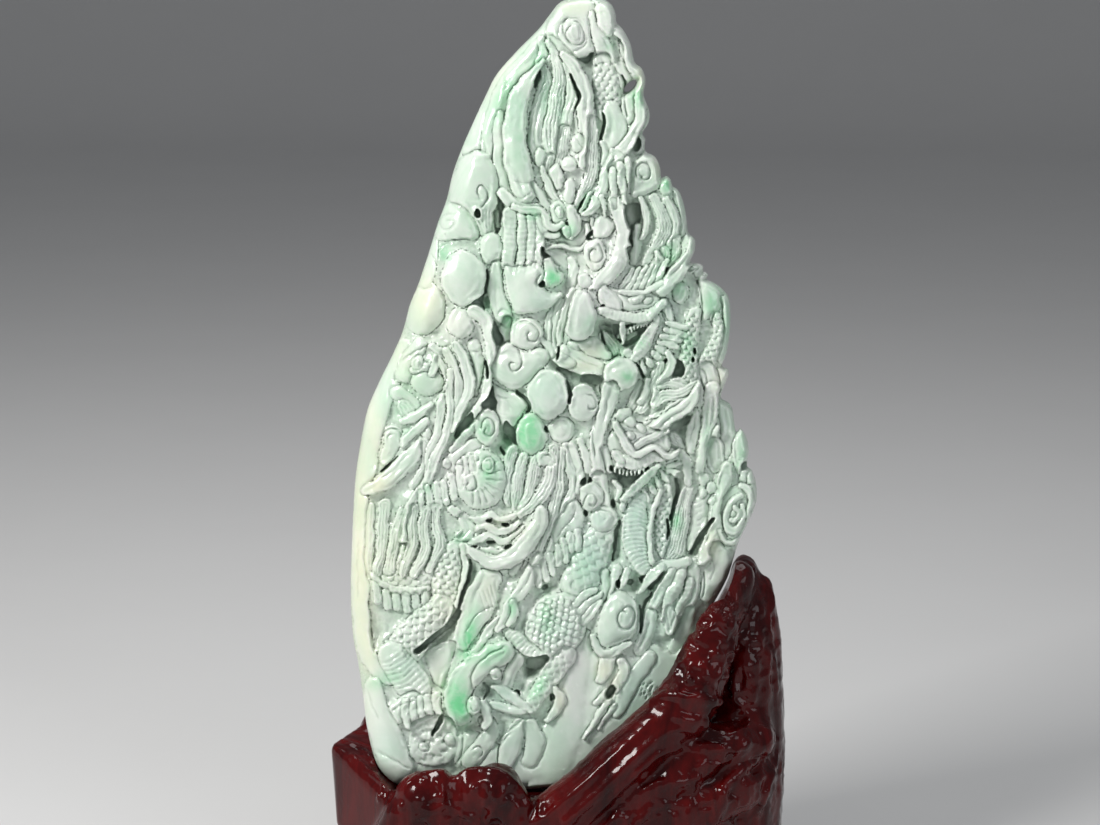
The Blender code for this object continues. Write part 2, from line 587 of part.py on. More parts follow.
    # berries on the carving
    for x, y, d, r in ((402, 805, -0.0575, 0.0036), (425, 779, -0.0590, 0.0034), (475, 787, -0.0620, 0.0034),
                       (437, 797, -0.0620, 0.0034), (480, 812, -0.0630, 0.0032), (505, 796, -0.0615, 0.0032),
                       (697, 637, -0.0440, 0.0038), (688, 654, -0.0470, 0.0040), (686, 677, -0.0520, 0.0046),
                       (717, 636, -0.0420, 0.0036), (733, 642, -0.0390, 0.0036), (715, 662, -0.0450, 0.0044)):
        limb(bm, [(s(x, y, d), r)])


bm = bmesh.new()
stand_shapes(bm)
bmesh.ops.triangulate(bm, faces=bm.faces)
raw = bpy.data.meshes.new("stand_raw")
bm.to_mesh(raw)
bm.free()
stand = bpy.data.objects.new("stand_raw", raw)
PARTS.objects.link(stand)
fuse = stand.modifiers.new("fuse", "REMESH")
fuse.mode = "VOXEL"
fuse.voxel_size = STAND_VOXEL
ease = stand.modifiers.new("ease", "SMOOTH")
ease.factor = 0.5
ease.iterations = 2
bpy.context.view_layer.update()
stand = frozen(stand, "stand_fused")
PARTS.objects.link(stand)
tidy(stand, 1e-6)
few = stand.modifiers.new("few", "DECIMATE")
few.ratio = min(1.0, STAND_TRIS / max(1, len(stand.data.polygons)))
bpy.context.view_layer.update()
stand = frozen(stand, "stand_few")
PARTS.objects.link(stand)
tidy(stand, 1e-6)


# slot: the slab's lower outline, a little larger all round, cut along the slab's lean
def slot_outline():
    low = [p for p in spline([(x, y) for x, y in OUTLINE], 9.0, closed=True) if p[1] > 545]
    low = [Vector((p[0], p[1])) for p in low]
    grow = SLOT_GAP / GRID
    out = []
    n = len(low)
    for i in range(n):
        a, b = low[max(i - 1, 0)], low[min(i + 1, n - 1)]
        t = (b - a).normalized()
        out.append(low[i] + Vector((-t.y, t.x)) * grow)
    return out


def slot_cutter(name, top_y, bottom_y, reach_front, reach_back):
    """Prism over the slab's outline between two heights on the sheet."""
    ringpts = [p for p in slot_outline() if p.y < bottom_y]
    low = [p for p in slot_outline() if p.y >= bottom_y]
    side = slot_outline()
    first = [p for p in side[:len(side) // 2]]
    second = [p for p in side[len(side) // 2:]]
    left = [p for p in first if top_y < p.y < bottom_y]
    right = [p for p in second if top_y < p.y < bottom_y]
    if low and bottom_y > 790:
        loop = [Vector((left[0].x, top_y))] + [p for p in side if p.y > top_y] + [Vector((right[-1].x + 0.1, top_y))]
    else:
        loop = ([Vector((left[0].x, top_y))] + left + [Vector((left[-1].x, bottom_y)), Vector((right[0].x, bottom_y))]
                + right + [Vector((right[-1].x + 12.0, top_y))])
    bm = bmesh.new()
    lower = [bm.verts.new(slab_xyz(p.x, p.y, reach_back)) for p in loop]
    upper = [bm.verts.new(slab_xyz(p.x, p.y, reach_front)) for p in loop]
    bm.faces.new(lower)
    bm.faces.new(list(reversed(upper)))
    for i in range(len(loop)):
        j = (i + 1) % len(loop)
        bm.faces.new((lower[i], upper[i], upper[j], lower[j]))
    bmesh.ops.triangulate(bm, faces=bm.faces)
    bmesh.ops.recalc_face_normals(bm, faces=bm.faces)
    mesh = bpy.data.meshes.new(name)
    bm.to_mesh(mesh)
    bm.free()
    ob = bpy.data.objects.new(name, mesh)
    CUTTERS.objects.link(ob)
    return ob


def highest(field, y0, y1):
    return float(field[(GY > y0) & (GY < y1) & (SOLID < 0)].max()) * 1e-3


STEP_Y = 735.0            # below this the slab's front is nearly plain
back_h = -highest(BACK, 540, 810) - SLOT_GAP
slot_low = slot_cutter("slot_low", STEP_Y - 12.0, 900.0, highest(FRONT, STEP_Y - 14.0, 810) + SLOT_GAP, back_h)
slot_high = slot_cutter("slot_high", 470.0, STEP_Y, highest(FRONT, 540, STEP_Y) + SLOT_GAP, back_h - 0.0002)

bpy.ops.mesh.primitive_cube_add(size=1.0)
ground = bpy.context.active_object
ground.name = "ground"
ground.scale = (0.4, 0.3, 0.05)
ground.location = (0.0, 0.0, STAND_FLOOR - 0.025)
for c in list(ground.users_collection):
    c.objects.unlink(ground)
CUTTERS.objects.link(ground)
for cutter in (slot_low, slot_high, ground):
    cutter.hide_render = True
    cutter.display_type = "WIRE"
    mod = stand.modifiers.new(cutter.name, "BOOLEAN")
    mod.operation = "DIFFERENCE"
    mod.solver = "EXACT"
    mod.object = cutter
bpy.context.view_layer.update()
stand = frozen(stand, "wood_stand")


def keep_largest(ob):
    """Leave only the largest connected body."""
    bm = bmesh.new()
    bm.from_mesh(ob.data)
    bm.verts.ensure_lookup_table()
    seen = set()
    groups = []
    for v in bm.verts:
        if v.index in seen:
            continue
        stack, group = [v], []
        seen.add(v.index)
        while stack:
            w = stack.pop()
            group.append(w)
            for e in w.link_edges:
                o = e.other_vert(w)
                if o.index not in seen:
                    seen.add(o.index)
                    stack.append(o)
        groups.append(group)
    groups.sort(key=len, reverse=True)
    for group in groups[1:]:
        bmesh.ops.delete(bm, geom=group, context="VERTS")
    bm.to_mesh(ob.data)
    bm.free()


keep_largest(stand)
PARTS.objects.link(stand)
tidy(stand, 1e-6)
stand.data.materials.clear()
stand.data.materials.append(material("dark_red_lacquer", (0.085, 0.010, 0.010), 0.18))
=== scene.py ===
"""Looks of the jade dragon carving: finely carved slab, lacquered stand, floor, light, camera.

The slab's relief is laid out on a drafting sheet in the slab's own plane: x runs
to the right, y runs down, one square is GRID metres, and heights are in
millimetres over the slab's mid-plane. Forms are laid over each other from the
ground up, the way a carver works down from the front: bands, bosses, pillows,
then hair, scales, plates and engraved lines on them.
"""

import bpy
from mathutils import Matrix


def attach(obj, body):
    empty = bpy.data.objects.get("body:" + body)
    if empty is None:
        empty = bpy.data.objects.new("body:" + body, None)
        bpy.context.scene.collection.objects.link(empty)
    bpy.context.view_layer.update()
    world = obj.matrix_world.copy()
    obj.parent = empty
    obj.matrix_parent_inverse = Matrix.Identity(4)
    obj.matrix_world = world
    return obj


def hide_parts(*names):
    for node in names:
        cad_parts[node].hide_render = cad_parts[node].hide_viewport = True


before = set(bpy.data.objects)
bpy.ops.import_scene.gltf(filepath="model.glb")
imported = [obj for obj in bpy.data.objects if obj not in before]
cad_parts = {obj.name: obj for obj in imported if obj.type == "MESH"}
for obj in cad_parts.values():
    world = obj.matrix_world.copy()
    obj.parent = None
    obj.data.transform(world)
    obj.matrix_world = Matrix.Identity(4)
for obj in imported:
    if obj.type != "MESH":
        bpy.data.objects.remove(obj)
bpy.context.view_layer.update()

import math

import bmesh
import bpy
import numpy as np
from mathutils import Matrix, Vector
from mathutils.bvhtree import BVHTree

GRID = 0.46e-3
MM = GRID * 1000.0
MID_X, MID_Y = 550.0, 412.5
LEAN = math.radians(9.0)
SLAB_Z = 0.232
EYE_RANGE = 1.30
EYE_TILT = math.radians(12.0)
STEP = 0.66
GROUND = 5.5
FRONT_TRIS = 168000
BACK_TRIS = 26000

# ------------------------------------------------------------------ sheet
X0, X1, Y0, Y1 = 343.0, 766.0, -7.0, 804.0
XS = np.arange(X0, X1, STEP)
YS = np.arange(Y0, Y1, STEP)
GX, GY = np.meshgrid(XS, YS)
NY, NX = GX.shape
H = np.full(GX.shape, GROUND)
# painted shade: darkening laid into grooves, engraved lines, undercuts, pits and gaps between forms
RECESS_SHADE = np.zeros(GX.shape)
LAID = np.zeros(GX.shape, bool)
DEEP = np.zeros(GX.shape)
SOFT = 0.85


def spline(points, spacing, closed=False):
    p = np.asarray(points, float)
    n = len(p)
    rows = []
    for i in range(n if closed else n - 1):
        if closed:
            q = [p[(i + k) % n] for k in (-1, 0, 1, 2)]
        else:
            q = [p[max(i - 1, 0)], p[i], p[i + 1], p[min(i + 2, n - 1)]]
        steps = max(1, int(math.hypot(*(q[2] - q[1])[:2]) / spacing))
        t = (np.arange(steps) / steps)[:, None]
        rows.append(0.5 * (2 * q[1] + (q[2] - q[0]) * t
                           + (2 * q[0] - 5 * q[1] + 4 * q[2] - q[3]) * t * t
                           + (3 * q[1] - q[0] - 3 * q[2] + q[3]) * t ** 3))
    if not closed:
        rows.append(p[-1][None, :])
    return np.vstack(rows)


def window(x0, x1, y0, y1):
    i0 = max(0, int((x0 - X0) / STEP) - 1)
    i1 = min(NX, int((x1 - X0) / STEP) + 3)
    j0 = max(0, int((y0 - Y0) / STEP) - 1)
    j1 = min(NY, int((y1 - Y0) / STEP) + 3)
    return slice(j0, max(j1, j0)), slice(i0, max(i1, i0))


def trace(c, margin):
    """Nearest point on the curve c (rows x, y, half-width) for the cells round it."""
    reach = c[:, 2].max() + margin
    w = window(c[:, 0].min() - reach, c[:, 0].max() + reach, c[:, 1].min() - reach, c[:, 1].max() + reach)
    gx, gy = GX[w], GY[w]
    best = np.full(gx.shape, 1e9)
    rad = np.ones(gx.shape)
    along = np.zeros(gx.shape)
    side = np.zeros(gx.shape)
    oj, oi = w[0].start, w[1].start
    s = 0.0
    for i in range(len(c) - 1):
        ax, ay, ar = c[i, :3]
        bx, by, br = c[i + 1, :3]
        ex, ey = bx - ax, by - ay
        ll = ex * ex + ey * ey
        ln = math.sqrt(ll) + 1e-9
        r = max(ar, br) + margin
        v = window(min(ax, bx) - r, max(ax, bx) + r, min(ay, by) - r, max(ay, by) + r)
        v = (slice(v[0].start - oj, v[0].stop - oj), slice(v[1].start - oi, v[1].stop - oi))
        px, py = gx[v] - ax, gy[v] - ay
        t = np.clip((px * ex + py * ey) / (ll + 1e-9), 0, 1)
        dx, dy = px - t * ex, py - t * ey
        d2 = dx * dx + dy * dy
        near = d2 < best[v]
        best[v] = np.where(near, d2, best[v])
        rad[v] = np.where(near, ar + (br - ar) * t, rad[v])
        along[v] = np.where(near, s + t * ln, along[v])
        side[v] = np.where(near, np.where(ex * py - ey * px >= 0, 1.0, -1.0), side[v])
        s += ln
    best = np.sqrt(best)
    return w, best, np.maximum(rad, 0.3), along, side * best, s


def rounded(q, flat=2.0):
    return np.sqrt(np.clip(1 - np.clip(q, 0, 1) ** flat, 0, 1))


def settle(w, inside, new, outside, groove, gd, mode):
    """Lay a form into the sheet with a fine undercut groove round it."""
    old = H[w]
    if mode == "max":
        H[w] = np.where(inside, np.maximum(old, new), old)
        LAID[w] |= inside
        return
    if mode == "add":
        H[w] = np.where(inside, old + new, old)
        return
    groove *= 0.85
    ring = (~inside) & (outside < groove)
    fade = np.clip(1 - outside / groove, 0, 1)
    H[w] = np.where(inside, new, np.where(ring, old - 0.85 * gd * fade, old))
    # the groove ring round the form gets painted shade
    RECESS_SHADE[w] = np.where(inside, 0.0, np.where(ring, np.maximum(RECESS_SHADE[w], 0.32 * fade), RECESS_SHADE[w]))
    LAID[w] |= inside
    DEEP[w] = np.where(inside, 0.0, DEEP[w])


def B(points, top, lift=0.85, flat=2.3, tex=None, groove=1.7, gd=1.5, mode="set", tilt=0.0, top2=None, most=7.0):
    """Band: rounded form along a curve of (x, y, half-width)."""
    pts = [(p[0], p[1], p[2]) for p in points]
    if len(pts) == 1:
        pts.append((pts[0][0] + 0.1, pts[0][1], pts[0][2]))
    c = spline(pts, max(1.2, min(4.0, 0.35 * min(p[2] for p in pts) + 1.0)))
    c[:, 2] = np.maximum(c[:, 2], 0.4)
    w, d, r, s, lat, total = trace(c, groove + 0.5)
    q = d / r
    crest = top if top2 is None else top + (top2 - top) * s / max(total, 1e-6)
    drop = SOFT * np.minimum(lift * r * MM, most)
    new = crest - drop * (1 - rounded(q, flat)) + tilt * lat / r
    if tex is not None:
        new = new + tex(s, lat / r, r, q)
    settle(w, q < 1, new, d - r, groove, gd, mode)


def E(cx, cy, rx, ry, top, turn=0.0, lift=0.85, flat=2.0, groove=1.7, gd=1.5, mode="set", tex=None, most=7.0):
    """Boss: dome over an ellipse; turn is counter-clockwise in degrees as seen."""
    m = max(rx, ry) + groove + 1
    w = window(cx - m, cx + m, cy - m, cy + m)
    c, sn = math.cos(math.radians(turn)), math.sin(math.radians(turn))
    dx, dy = GX[w] - cx, GY[w] - cy
    u = (dx * c - dy * sn) / rx
    v = (dx * sn + dy * c) / ry
    q = np.hypot(u, v)
    drop = SOFT * min(lift * min(rx, ry) * MM, most)
    new = top - drop * (1 - rounded(q, flat))
    if tex is not None:
        new = new + tex(v * ry + ry, u, min(rx, ry), q)
    settle(w, q < 1, new, (q - 1) * min(rx, ry), groove, gd, mode)


def poly_distance(poly, gx, gy):
    best = np.full(gx.shape, 1e9)
    inside = np.zeros(gx.shape, bool)
    n = len(poly)
    for i in range(n):
        ax, ay = poly[i]
        bx, by = poly[(i + 1) % n]
        ex, ey = bx - ax, by - ay
        t = np.clip(((gx - ax) * ex + (gy - ay) * ey) / (ex * ex + ey * ey + 1e-12), 0, 1)
        best = np.minimum(best, (gx - ax - t * ex) ** 2 + (gy - ay - t * ey) ** 2)
        if ay != by:
            inside ^= ((ay > gy) != (by > gy)) & (gx < ex * (gy - ay) / ey + ax)
    best = np.sqrt(best)
    return np.where(inside, -best, best)


def P(outline, top, rnd=8.0, lift=0.85, flat=2.0, groove=1.7, gd=1.5, mode="set", tex=None, slope=(0.0, 0.0), most=7.0):
    """Pillow: rounded form inside a smooth closed outline."""
    line = spline(outline, 2.5, closed=True)
    m = groove + 1
    w = window(line[:, 0].min() - m, line[:, 0].max() + m, line[:, 1].min() - m, line[:, 1].max() + m)
    sd = poly_distance(line, GX[w], GY[w])
    q = 1 - np.clip(-sd / rnd, 0, 1)
    drop = SOFT * min(lift * rnd * MM, most)
    cx, cy = line[:, 0].mean(), line[:, 1].mean()
    new = top - drop * (1 - rounded(q, flat)) + slope[0] * (GX[w] - cx) + slope[1] * (GY[w] - cy)
    if tex is not None:
        new = new + tex(GX[w], GY[w], rnd, q)
    settle(w, sd < 0, new, sd, groove, gd, mode)


def C(points, w=1.3, d=1.3, ends=5.0):
    """Engraved line; w is its half-width."""
    pts = [(p[0], p[1], w * (p[2] if len(p) > 2 else 1.0)) for p in points]
    c = spline(pts, 1.4)
    win, dist, r, s, lat, total = trace(c, 0.5)
    q = np.clip(dist / r, 0, 1)
    e = min(ends, total / 2.5)
    fade = np.clip(np.minimum(s, total - s) / e + 0.15, 0, 1)
    H[win] -= d * fade * (1 - q * q) ** 1.5
    # painted shade along the engraved line
    RECESS_SHADE[win] = np.maximum(RECESS_SHADE[win], 0.35 * fade * (1 - q))


def K(points, w=3.0, d=4.0, floor=None):
    """Deep undercut between forms."""
    pts = [(p[0], p[1], 0.8 * (p[2] if len(p) > 2 else w)) for p in points]
    c = spline(pts, 1.6)
    win, dist, r, s, lat, total = trace(c, 0.5)
    q = np.clip(dist / r, 0, 1)
    cut = d * (1 - q ** 3)
    if floor is None:
        H[win] -= np.where(q < 1, cut, 0)
    else:
        H[win] = np.where(q < 1, np.minimum(H[win], floor + (H[win] - floor) * q ** 4), H[win])
    # painted shade in the undercut
    RECESS_SHADE[win] = np.where(q < 1, np.maximum(RECESS_SHADE[win], 1 - q ** 4), RECESS_SHADE[win])
    DEEP[win] = np.where(q < 1, np.maximum(DEEP[win], 1 - q ** 4), DEEP[win])
    LAID[win] |= q < 1


def PIT(cx, cy, rx, ry, floor, turn=0.0):
    m = max(rx, ry) + 1
    w = window(cx - m, cx + m, cy - m, cy + m)
    c, sn = math.cos(math.radians(turn)), math.sin(math.radians(turn))
    dx, dy = GX[w] - cx, GY[w] - cy
    q = np.hypot((dx * c - dy * sn) / rx, (dx * sn + dy * c) / ry)
    H[w] = np.where(q < 1, np.minimum(H[w], floor + (H[w] - floor) * np.clip(q, 0, 1) ** 5), H[w])
    # the pit is painted full shade
    RECESS_SHADE[w] = np.where(q < 1, 1.0, RECESS_SHADE[w])
    DEEP[w] = np.where(q < 1, 1.0, DEEP[w])
    LAID[w] |= q < 1


def hole_poly(outline, floor, rnd=2.0):
    """Sunken pocket with a given outline and steep sides."""
    line = spline(outline, 2.0, closed=True)
    w = window(line[:, 0].min() - 1, line[:, 0].max() + 1, line[:, 1].min() - 1, line[:, 1].max() + 1)
    sd = poly_distance(line, GX[w], GY[w])
    q = 1 - np.clip(-sd / rnd, 0, 1)
    H[w] = np.where(sd < 0, np.minimum(H[w], floor + (H[w] - floor) * q ** 2), H[w])
    # the pocket is painted full shade
    RECESS_SHADE[w] = np.where(sd < 0, 1.0, RECESS_SHADE[w])
    DEEP[w] = np.where(sd < 0, 1.0, DEEP[w])
    LAID[w] |= sd < 0


def R(points, w=1.5, h=0.8, ends=4.0):
    """Fine raised ridge."""
    pts = [(p[0], p[1], w * (p[2] if len(p) > 2 else 1.0)) for p in points]
    c = spline(pts, 1.4)
    win, dist, r, s, lat, total = trace(c, 0.5)
    q = np.clip(dist / r, 0, 1)
    e = min(ends, total / 2.5)
    fade = np.clip(np.minimum(s, total - s) / e + 0.1, 0, 1)
    H[win] += h * fade * (1 - q * q) ** 1.2


def SP(cx, cy, r, turns=1.6, a0=0.0, hand=1, w=1.2, d=1.3, sy=1.0, inner=0.18):
    """Engraved spiral from radius r inwards; a0 in degrees, screen angles."""
    n = int(14 * turns) + 4
    pts = []
    for k in range(n):
        t = k / (n - 1)
        a = math.radians(a0) + hand * t * turns * 2 * math.pi
        rr = r * (1 - (1 - inner) * t)
        pts.append((cx + rr * math.cos(a), cy - rr * math.sin(a) * sy))
    C(pts, w, d, ends=3.0)


def strands(n, depth=0.7, wave=0.0, length=14.0, phase=0.0):
    n = n * 1.3

    def tex(s, u, r, q):
        k = (u + 1) * 0.5 * n + wave * np.sin(s / length + phase)
        return 1.9 * depth * (np.abs(np.sin(np.pi * k)) ** 0.6 - 1) * np.clip((1.05 - q) * 5, 0, 1)
    return tex


def scales(size, depth=0.8, bow=0.9, slip=0.0):
    """Overlapping scallops, free edge towards the curve's end."""
    pitch = size * 0.62

    def tex(s, u, r, q):
        row = s / pitch
        k = np.floor(row)
        t = row - k
        lat = (u * r + slip) / size + 0.5 * (k % 2)
        lx = lat - np.floor(lat) - 0.5
        d = np.hypot(t, 2.0 * lx)
        own = d < 1
        h = np.where(own, 0.45 + 0.55 * t, 0.40 * t * (1 - np.abs(2 * lx)) + 0.05)
        cut = np.exp(-((d - 1.03) / 0.11) ** 2)
        return 1.9 * depth * (h - 0.8 - 0.55 * cut) * np.clip((1.04 - q) * 6, 0, 1)
    return tex


def plates(pitch, depth=0.8, bow=0.0):
    def tex(s, u, r, q):
        f = (s + bow * u * u * r) / pitch
        f = f - np.floor(f)
        return depth * (rounded(np.abs(2 * f - 1), 2.0) - 1)
    return tex


def rings(pitch, depth=0.4):
    return plates(pitch, depth, 0.0)


def fringe(rows, top, lift=0.9, groove=1.3, gd=1.2, split=True):
    """Row of tongue-like lobes: (x0, y0, x1, y1, r0, r1)."""
    for x0, y0, x1, y1, r0, r1 in rows:
        B([(x0, y0, r0), ((x0 + x1) / 2, (y0 + y1) / 2, (r0 + r1) / 2), (x1, y1, r1)], top, lift=lift,
          groove=groove, gd=gd, tex=strands(2, 0.35) if split else None)


def noise2(scale, seed, octaves=3):
    """Smooth value noise over the sheet."""
    rng = np.random.RandomState(seed)
    out = np.zeros(GX.shape)
    amp, tot = 1.0, 0.0
    for o in range(octaves):
        sc = scale / (2 ** o)
        nx, ny = int((X1 - X0) / sc) + 4, int((Y1 - Y0) / sc) + 4
        g = rng.rand(ny, nx) * 2 - 1
        fx, fy = (GX - X0) / sc, (GY - Y0) / sc
        ix, iy = fx.astype(int), fy.astype(int)
        tx, ty = fx - ix, fy - iy
        tx, ty = tx * tx * (3 - 2 * tx), ty * ty * (3 - 2 * ty)
        out += amp * ((g[iy, ix] * (1 - tx) + g[iy, ix + 1] * tx) * (1 - ty)
                      + (g[iy + 1, ix] * (1 - tx) + g[iy + 1, ix + 1] * tx) * ty)
        tot += amp
        amp *= 0.5
    return out / tot


def blur(f, sigma):
    """Separable Gaussian blur, sigma in drafting squares."""
    s = sigma / STEP
    n = max(1, int(3 * s))
    k = np.exp(-0.5 * (np.arange(-n, n + 1) / s) ** 2)
    k /= k.sum()
    p = np.pad(f, ((n, n), (0, 0)), mode="edge")
    g = sum(k[i] * p[i:i + f.shape[0]] for i in range(2 * n + 1))
    p = np.pad(g, ((0, 0), (n, n)), mode="edge")
    return sum(k[i] * p[:, i:i + f.shape[1]] for i in range(2 * n + 1))

# ------------------------------------------------------------------ outline
LEFT_SIDE = [
    (592, -1), (575, 0), (560, 5), (549, 18), (538, 32), (517, 53), (497, 76),
    (486, 97), (472, 127), (462, 150), (453, 175), (447, 200), (438, 224),
    (430, 250), (419, 283), (410, 305), (403, 331), (392, 356), (380, 380),
    (368, 408), (361, 440), (355, 480), (352, 530), (350, 590), (352, 635),
    (357, 663), (361, 690), (366, 730), (375, 765), (388, 782), (402, 789),
    (440, 794), (490, 795), (530, 792),
]
RIGHT_SIDE = [
    (568, 786), (604, 762), (642, 728), (668, 703), (684, 676), (699, 650),
    (703, 625), (715, 603), (728, 578), (736, 552), (741, 538), (751, 518), (757, 500),
    (756, 482), (752, 470), (747, 466), (749, 450), (746, 436), (740, 428), (736, 432), (732, 408),
    (726, 401), (721, 398), (724, 386), (729, 374), (727, 368), (722, 366), (727, 350), (730, 325), (729, 300), (722, 289),
    (712, 282), (705.5, 279), (708, 275), (705, 272), (702, 272), (703, 267), (699, 264), (690, 262), (694, 252), (694.5, 240),
    (688, 233), (686, 218), (682, 200), (677, 190), (672, 187), (670, 180), (665, 176.5), (660.5, 179), (660, 170), (655, 158),
    (646, 153), (644, 148), (645, 140), (642, 134), (648, 124), (649, 113), (644, 100), (643, 94),
    (645, 82), (641, 70), (634, 64), (630, 46), (622, 31), (616, 25), (615, 16), (609, 5),
]
OUT_LINE = spline(LEFT_SIDE + RIGHT_SIDE, 2.5, closed=True)
EDGE = poly_distance(OUT_LINE, GX, GY)


def ell(cx, cy, rx, ry, turn):
    c, s = math.cos(math.radians(turn)), math.sin(math.radians(turn))
    dx, dy = GX - cx, GY - cy
    return np.hypot((dx * c - dy * s) / rx, (dx * s + dy * c) / ry)


HOLES = [(629.5, 87.5, 7.5, 3.3, 45.0)]
HOLE = np.full(GX.shape, -1e3)
for hx, hy, ha, hb, ht in HOLES:
    HOLE = np.maximum(HOLE, (1.0 - ell(hx, hy, ha, hb, ht)) * hb)
SOLID = np.maximum(EDGE, HOLE)

# ------------------------------------------------------------------ carving: top
# left flank, a broad scraped shoulder below the cap
B([(546, 34, 11), (528, 56, 15), (508, 88, 18), (494, 122, 20), (482, 152, 20)], 11, lift=0.5, flat=3)
B([(541, 44, 7), (526, 62, 8), (508, 84, 9), (497, 108, 8), (489, 134, 7), (486, 156, 6)], 12.5, lift=0.5)
C([(505, 74), (504, 80), (507, 86), (503, 92)], 1.6, 0.9)
B([(500, 112, 3), (499, 130, 5), (500, 160, 6), (504, 185, 6), (512, 200, 5)], 12.5, lift=0.6)
C([(481, 130), (484, 145), (487, 156)], 1.6, 0.8)
# cap of cloud
P([(547, 26), (558, 9), (574, 1), (590, 2), (597, 12), (594, 28), (591, 40), (595, 50), (590, 56), (577, 60),
   (566, 55), (554, 47), (548, 38)], 15.5, rnd=13, lift=0.7)
E(572, 35, 13.5, 16, 17.2, 0, lift=0.6, groove=1.5, gd=1.4)
SP(573.5, 35, 11.5, 1.25, 95, -1, 1.4, 1.7, 1.15, inner=0.45)
C([(568, 18), (564, 24), (563, 33), (566, 41), (571, 45)], 1.8, 1.3)
E(574, 33, 5.5, 7, 17.6, 0, lift=0.5, groove=1.2, gd=0.6)
P([(594, 9), (604, 3), (613, 10), (616, 20), (613, 31), (607, 37), (600, 31), (596, 20)], 18.5, rnd=11, lift=0.85)
B([(590, 14, 2.0), (593, 24, 4), (598, 36, 7), (604, 48, 9), (607, 60, 8)], 15.5, lift=0.7)
B([(617, 28, 3), (623, 38, 6), (626, 50, 6), (628, 62, 5)], 11.5, lift=0.7)
hole_poly([(576, 60), (586, 60), (590, 54), (594, 52), (592, 60), (588, 66), (583, 64)], 3, 2.5)
# scaled neck of the upper dragon
B([(603, 62, 10), (606, 80, 15), (608, 98, 15), (607, 112, 11)], 13.5, lift=0.7, tex=scales(8.0, 0.7))
B([(619, 66, 6), (625, 80, 7), (630, 98, 8), (628, 118, 8)], 12.5, lift=0.6)
C([(614, 64), (616, 72), (621, 80), (624, 92), (625, 104), (627, 118)], 1.5, 1.8)
C([(592, 70), (600, 65), (611, 63)], 1.5, 1.2)
C([(611, 66), (616, 80), (617, 92), (612, 102), (608, 108)], 1.2, 0.9)
B([(612, 108, 8), (614, 124, 12), (614, 142, 13), (610, 158, 11), (604, 176, 7)], 14, lift=0.7)
# mane, horns and locks of the upper dragon, back to front
B([(541, 40, 4), (543, 52, 4.5), (538, 62, 4)], 13)
B([(551, 38, 3), (560, 50, 6), (571, 62, 7), (577, 80, 6), (578, 100, 5)], 13)
B([(543, 66, 3.5), (546, 80, 6), (542, 98, 7.5), (538, 118, 8), (537, 140, 9), (540, 158, 8)], 13.5, tex=strands(3, 0.6, 0.2))
K([(540, 71, 1.5), (538, 78, 3.0), (536, 86, 2.0)], floor=7)
B([(548, 42, 2), (554, 56, 4.5), (559, 72, 7), (558, 92, 8), (555, 112, 8.5), (551, 134, 8.5), (552, 158, 6)], 15.5, tex=strands(4, 0.8, 0.3))
B([(566, 62, 3), (571, 78, 5), (572, 96, 6), (568, 114, 6), (562, 134, 6), (561, 156, 6)], 15, tex=strands(2, 0.7, 0.2))
B([(562, 54, 3), (571, 62, 5.5), (580, 78, 7.5), (585, 100, 9), (586.5, 124, 9), (587, 146, 8.5), (585, 164, 6)], 18, lift=0.8, tex=strands(2, 0.45, 0.2))
K([(571, 74, 1.5), (575, 86, 2.8), (578, 98, 2.6), (576, 108, 1.2)], floor=9)
B([(542, 60, 1.8), (535, 70, 4), (527, 84, 7), (519, 102, 10.5), (515.5, 124, 12), (516, 148, 12.5), (520, 170, 13), (525, 190, 12)],
  18.5, lift=0.75, flat=2.6)
C([(512, 176), (522, 181), (532, 180)], 1.8, 0.8)
C([(516, 199), (524, 196), (532, 188)], 1.6, 0.8)
E(578, 143, 7, 10, 15, -10)
E(569, 163, 8, 9, 15.5, 20)
E(540, 158, 5.5, 10, 15, 0)
C([(572, 130), (577, 140), (585, 150)], 1.2, 0.8)
# right ribbon and the pieces behind the edge
E(644.5, 115, 7, 17, 7, 0)
E(638, 144, 8, 12, 8, 0)
hole_poly([(631, 140), (637, 138), (640, 144), (637, 151), (632, 150)], -2, 2.5)
B([(615, 30, 3), (625, 38, 5), (630, 50, 5.5), (632, 62, 7), (638, 74, 6.5), (640, 90, 4.5), (640, 106, 5.5), (640, 120, 5.5), (634, 132, 5),
   (624, 146, 6), (613, 160, 6.5), (606, 174, 7), (601, 190, 6.5), (595, 204, 5), (588, 212, 3.8), (581, 213, 2)],
  16.5, lift=0.8, tex=strands(2, 0.3, 0.15, 30))
C([(618, 28), (626, 36), (631, 48), (634, 60), (640, 68)], 1.0, 0.8)
C([(628, 66), (634, 72), (640, 76)], 1.2, 0.6)
K([(621, 76, 1.2), (625, 84, 2.2), (625, 94, 1.6)], floor=6)
K([(604, 114, 1.2), (604, 124, 2.4), (601, 134, 2.2), (599, 141, 1.2)], floor=2)
B([(601, 142, 3), (605, 152, 3.8), (602, 164, 2.5)], 13)
B([(612, 150, 3), (620, 158, 5), (612, 168, 5)], 15)

